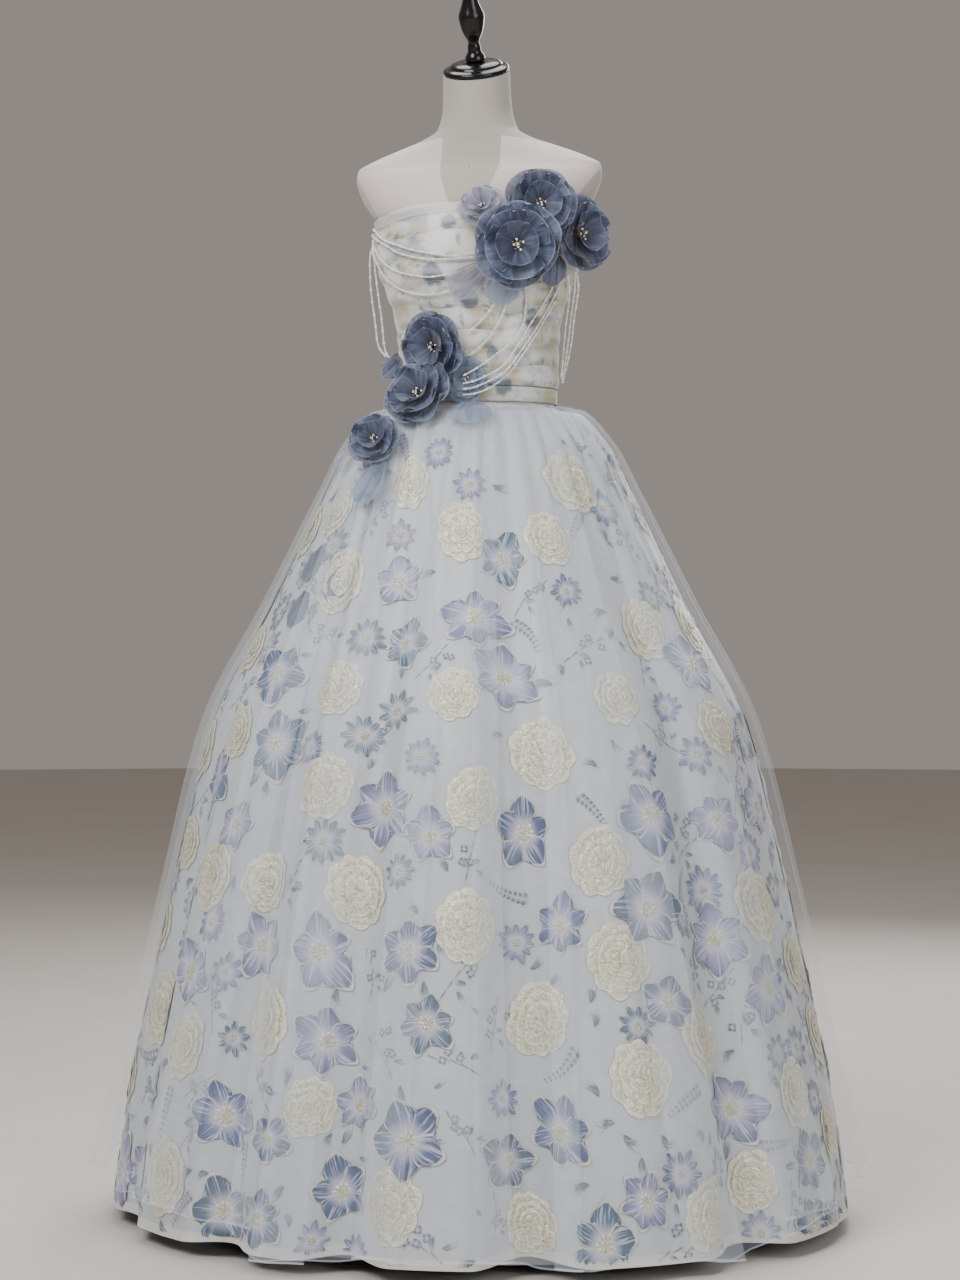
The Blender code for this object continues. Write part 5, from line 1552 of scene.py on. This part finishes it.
def build_flower(flower, index, finishes, bead_finishes):
    rng = np.random.default_rng(300 + index)
    place = frame_on(flower.carrier, flower.angle, flower.z, flower.lift, flower.side, flower.up)
    r, cup = flower.radius * FLOWER_SPREAD[flower.colour], flower.cup
    whorls = (
        (flower.petals, 1.00, 0.66, 0.04, 0.24, 0.10, 0.05, 0.0),
        (5, 0.80, 0.58, 0.10, 0.42, 0.18, 0.04, 0.5),
        (4, 0.50, 0.40, 0.16, 0.52, 0.18, 0.02, 0.25),
    )
    points, faces, petals, rims, tints = [], [], [], [], []
    size = 0
    for whorl, (count, reach, half, low, high, edge, curl, offset) in enumerate(whorls):
        for i in range(count):
            scale = rng.uniform(0.93, 1.04)
            turn = math.radians(flower.turn + (i + offset) * 360.0 / count + rng.uniform(-7.0, 7.0))
            grid, across, along, rim = cupped_petal(
                rng, 0.05 * r, reach * r * scale, half * r * scale, low * r * cup,
                (high + rng.uniform(-0.03, 0.04)) * r * cup, edge * r * cup, curl * r * cup, 13, 15,
            )
            grid[..., 2] += 0.012 * r * (i % 3)
            spin = np.array(((math.cos(turn), -math.sin(turn), 0), (math.sin(turn), math.cos(turn), 0), (0, 0, 1)))
            grid = grid.reshape(-1, 3) @ spin.T
            points.append(grid)
            faces.append(quads_of(13, 15) + size)
            petals.append(stacked(across, along, float(index * 31 + whorl * 7 + i)).reshape(-1, 3))
            rims.append(rim.ravel())
            tints.append(np.full(grid.shape[0], rng.uniform(0.0, 0.7) + 0.15 * whorl))
            size += len(grid)
    matrix = np.array(place)
    points = np.concatenate(points) @ matrix[:3, :3].T + matrix[:3, 3]
    fields = {
        "petal": np.concatenate(petals), "rim": np.concatenate(rims), "tint": np.concatenate(tints),
    }
    add_piece(
        f"{flower.name}_petals", points, np.concatenate(faces).tolist(), finishes[flower.colour],
        [flower.name], fields,
    )
    # Stamens: pearls on short stalks, among small gold and brown beads
    places, radii, kinds, stalk_parts = [], [], [], []
    for i in range(STAMENS):
        turn = 2.399963 * i
        away = 0.030 * r * math.sqrt(i) * 1.5
        top = r * cup * (0.30 - 0.02 * math.sqrt(i)) + rng.uniform(-0.02, 0.03) * r
        spot = Vector((away * math.cos(turn), away * math.sin(turn), max(top, 0.12 * r)))
        places.append(np.array(place @ spot))
        pearl = i % 2 == 0
        radii.append(r * (0.032 if pearl else 0.024))
        kinds.append(0 if pearl else 1 + i % 3 // 2)
        foot = place @ Vector((0.3 * spot.x, 0.3 * spot.y, 0.06 * r * cup))
        stalk_parts.append((np.array(foot), places[-1]))
    bead_points, bead_faces = beads_at(places, radii)
    all_points, all_faces = [bead_points], list(bead_faces)
    slots = np.repeat(kinds, len(BALL_FACES)).tolist()
    count = len(bead_points)
    for foot, top in stalk_parts:
        tube, sides = tube_along(np.linspace(foot, top, 4), 0.0004, 5, count)
        all_points.append(tube)
        all_faces += sides
        slots += [2] * len(sides)
        count += len(tube)
    tint = {"tint": np.zeros(count)}
    name = f"{flower.name}_stamens"
    stamens = add_piece(name, np.concatenate(all_points), all_faces, bead_finishes, (), tint)
    stamens.data.polygons.foreach_set("material_index", slots)
    stamens.data.update()


def bead_finish(name, dark, light, metallic, roughness):
    finish = Finish(name, Metallic=metallic)
    speck = finish.noise(finish.place(), 700.0, 2.0)
    colour = finish.blend(speck, dark, light)
    return finish.done(colour, finish.between(speck, 0.3, 0.7, roughness, roughness + 0.12))


def build_petal(petal, index, finishes):
    """A loose petal that follows the cloth it lies on, with a soft ruffled rim."""
    rng = np.random.default_rng(500 + index)
    turn = math.radians(petal.turn)
    radius = float(np.linalg.norm(on_cloth(petal.carrier, petal.angle, petal.z, 0.0)[:2]))
    along = np.linspace(0.0, 1.0, 19)[:, None]
    side = np.linspace(-1.0, 1.0, 17)[None, :]
    x = 0.5 * petal.width * np.minimum(1.0, 1.06 * PETAL_WIDTHS.at("width", along * 0.86)) * side
    y = -petal.length * along * mix(1.0, 1.0 - 0.22 * side ** 2, along ** 2)
    angle = petal.angle + np.degrees((x * math.cos(turn) - y * math.sin(turn)) / radius)
    z = petal.z + x * math.sin(turn) + y * math.cos(turn)
    free = petal.cup / 0.0012
    ruffle = 0.0007 * free * along ** 2 * np.sin(5.0 * side + rng.uniform(0.0, 6.0))
    pleat = 0.0004 * free * (1.0 - along) * np.cos(6.0 * math.pi * side)
    out = mix(petal.root, petal.tip, along * along) + petal.cup * side * side + ruffle + pleat
    grid = on_cloth(petal.carrier, angle, z, out)
    rim = np.maximum(np.abs(side) ** 6 * np.minimum(1.0, along * 2.0), along ** 9)
    fields = {
        "petal": stacked(side, along, float(index * 11)),
        "rim": rim,
        "tint": np.full(grid.shape[:2], rng.uniform(0.0, 0.4)),
    }
    piece = add_grid(f"{petal.name}_cloth", grid, finishes[petal.colour], [petal.name], fields)


def build_flowers():
    finishes = {
        "slate": organza_finish(
            "slate_organza", (tone(26, 30, 44), tone(74, 84, 112), tone(132, 142, 170)), 0.86,
        ),
        "lilac": organza_finish(
            "lilac_organza", (tone(96, 96, 116), tone(146, 146, 168), tone(186, 186, 204)), 0.62,
        ),
        "pale": organza_finish(
            "pale_organza", (tone(84, 98, 124), tone(118, 136, 164), tone(160, 174, 196)), 0.62,
        ),
    }
    beads = (
        pearl_finish(),
        bead_finish("gold_beads", tone(150, 116, 70), tone(214, 186, 138), 0.7, 0.25),
        bead_finish("brown_beads", tone(52, 36, 26), tone(96, 68, 48), 0.1, 0.3),
    )
    for index, flower in enumerate(FLOWERS):
        build_flower(flower, index, finishes, beads)
    for index, petal in enumerate(PETALS):
        build_petal(petal, index, finishes)


# Floor and light


def build_studio():
    finish = Finish("floor", Roughness=0.75)
    cloud = finish.noise(finish.place(), 3.0, 4.0)
    grain = finish.noise(finish.place(), 260.0, 3.0)
    finish.done(
        finish.blend(cloud, tone(196, 190, 184), tone(206, 200, 194)), normal=finish.bump(grain, 0.08, 0.0005),
    )
    mesh = bpy.data.meshes.new("floor")
    ring = [(FLOOR_RADIUS * math.cos(a), FLOOR_RADIUS * math.sin(a), FLOOR_DROP) for a in np.radians(np.arange(0, 360, 5))]
    mesh.from_pydata(ring, [], [list(range(len(ring)))])
    mesh.materials.append(finish.material)
    floor = bpy.data.objects.new("floor", mesh)
    bpy.context.scene.collection.objects.link(floor)
    for name, place, size, energy in LAMPS:
        data = bpy.data.lights.new(name, "AREA")
        data.shape = "DISK"
        data.size = size
        data.energy = energy
        lamp = bpy.data.objects.new(name, data)
        lamp.location = place
        lamp.rotation_euler = (Vector(LAMP_AIM) - Vector(place)).to_track_quat("-Z", "Y").to_euler()
        bpy.context.scene.collection.objects.link(lamp)
    world = bpy.data.worlds.new("studio")
    world.use_nodes = True
    shade = world.node_tree.nodes["Background"]
    shade.inputs["Color"].default_value = WORLD_COLOUR
    shade.inputs["Strength"].default_value = WORLD_STRENGTH
    bpy.context.scene.world = world


add_camera()
pearls = pearl_finish()
for number, (strand_name, strand_stops) in enumerate(STRANDS.items()):
    build_strand(strand_name, strand_stops, pearls, number)
build_stand()
build_form()
build_bodice()
build_edges()
skirt_cloths = build_under_skirts()
build_motifs()
build_overlay()
build_flowers()
build_studio()
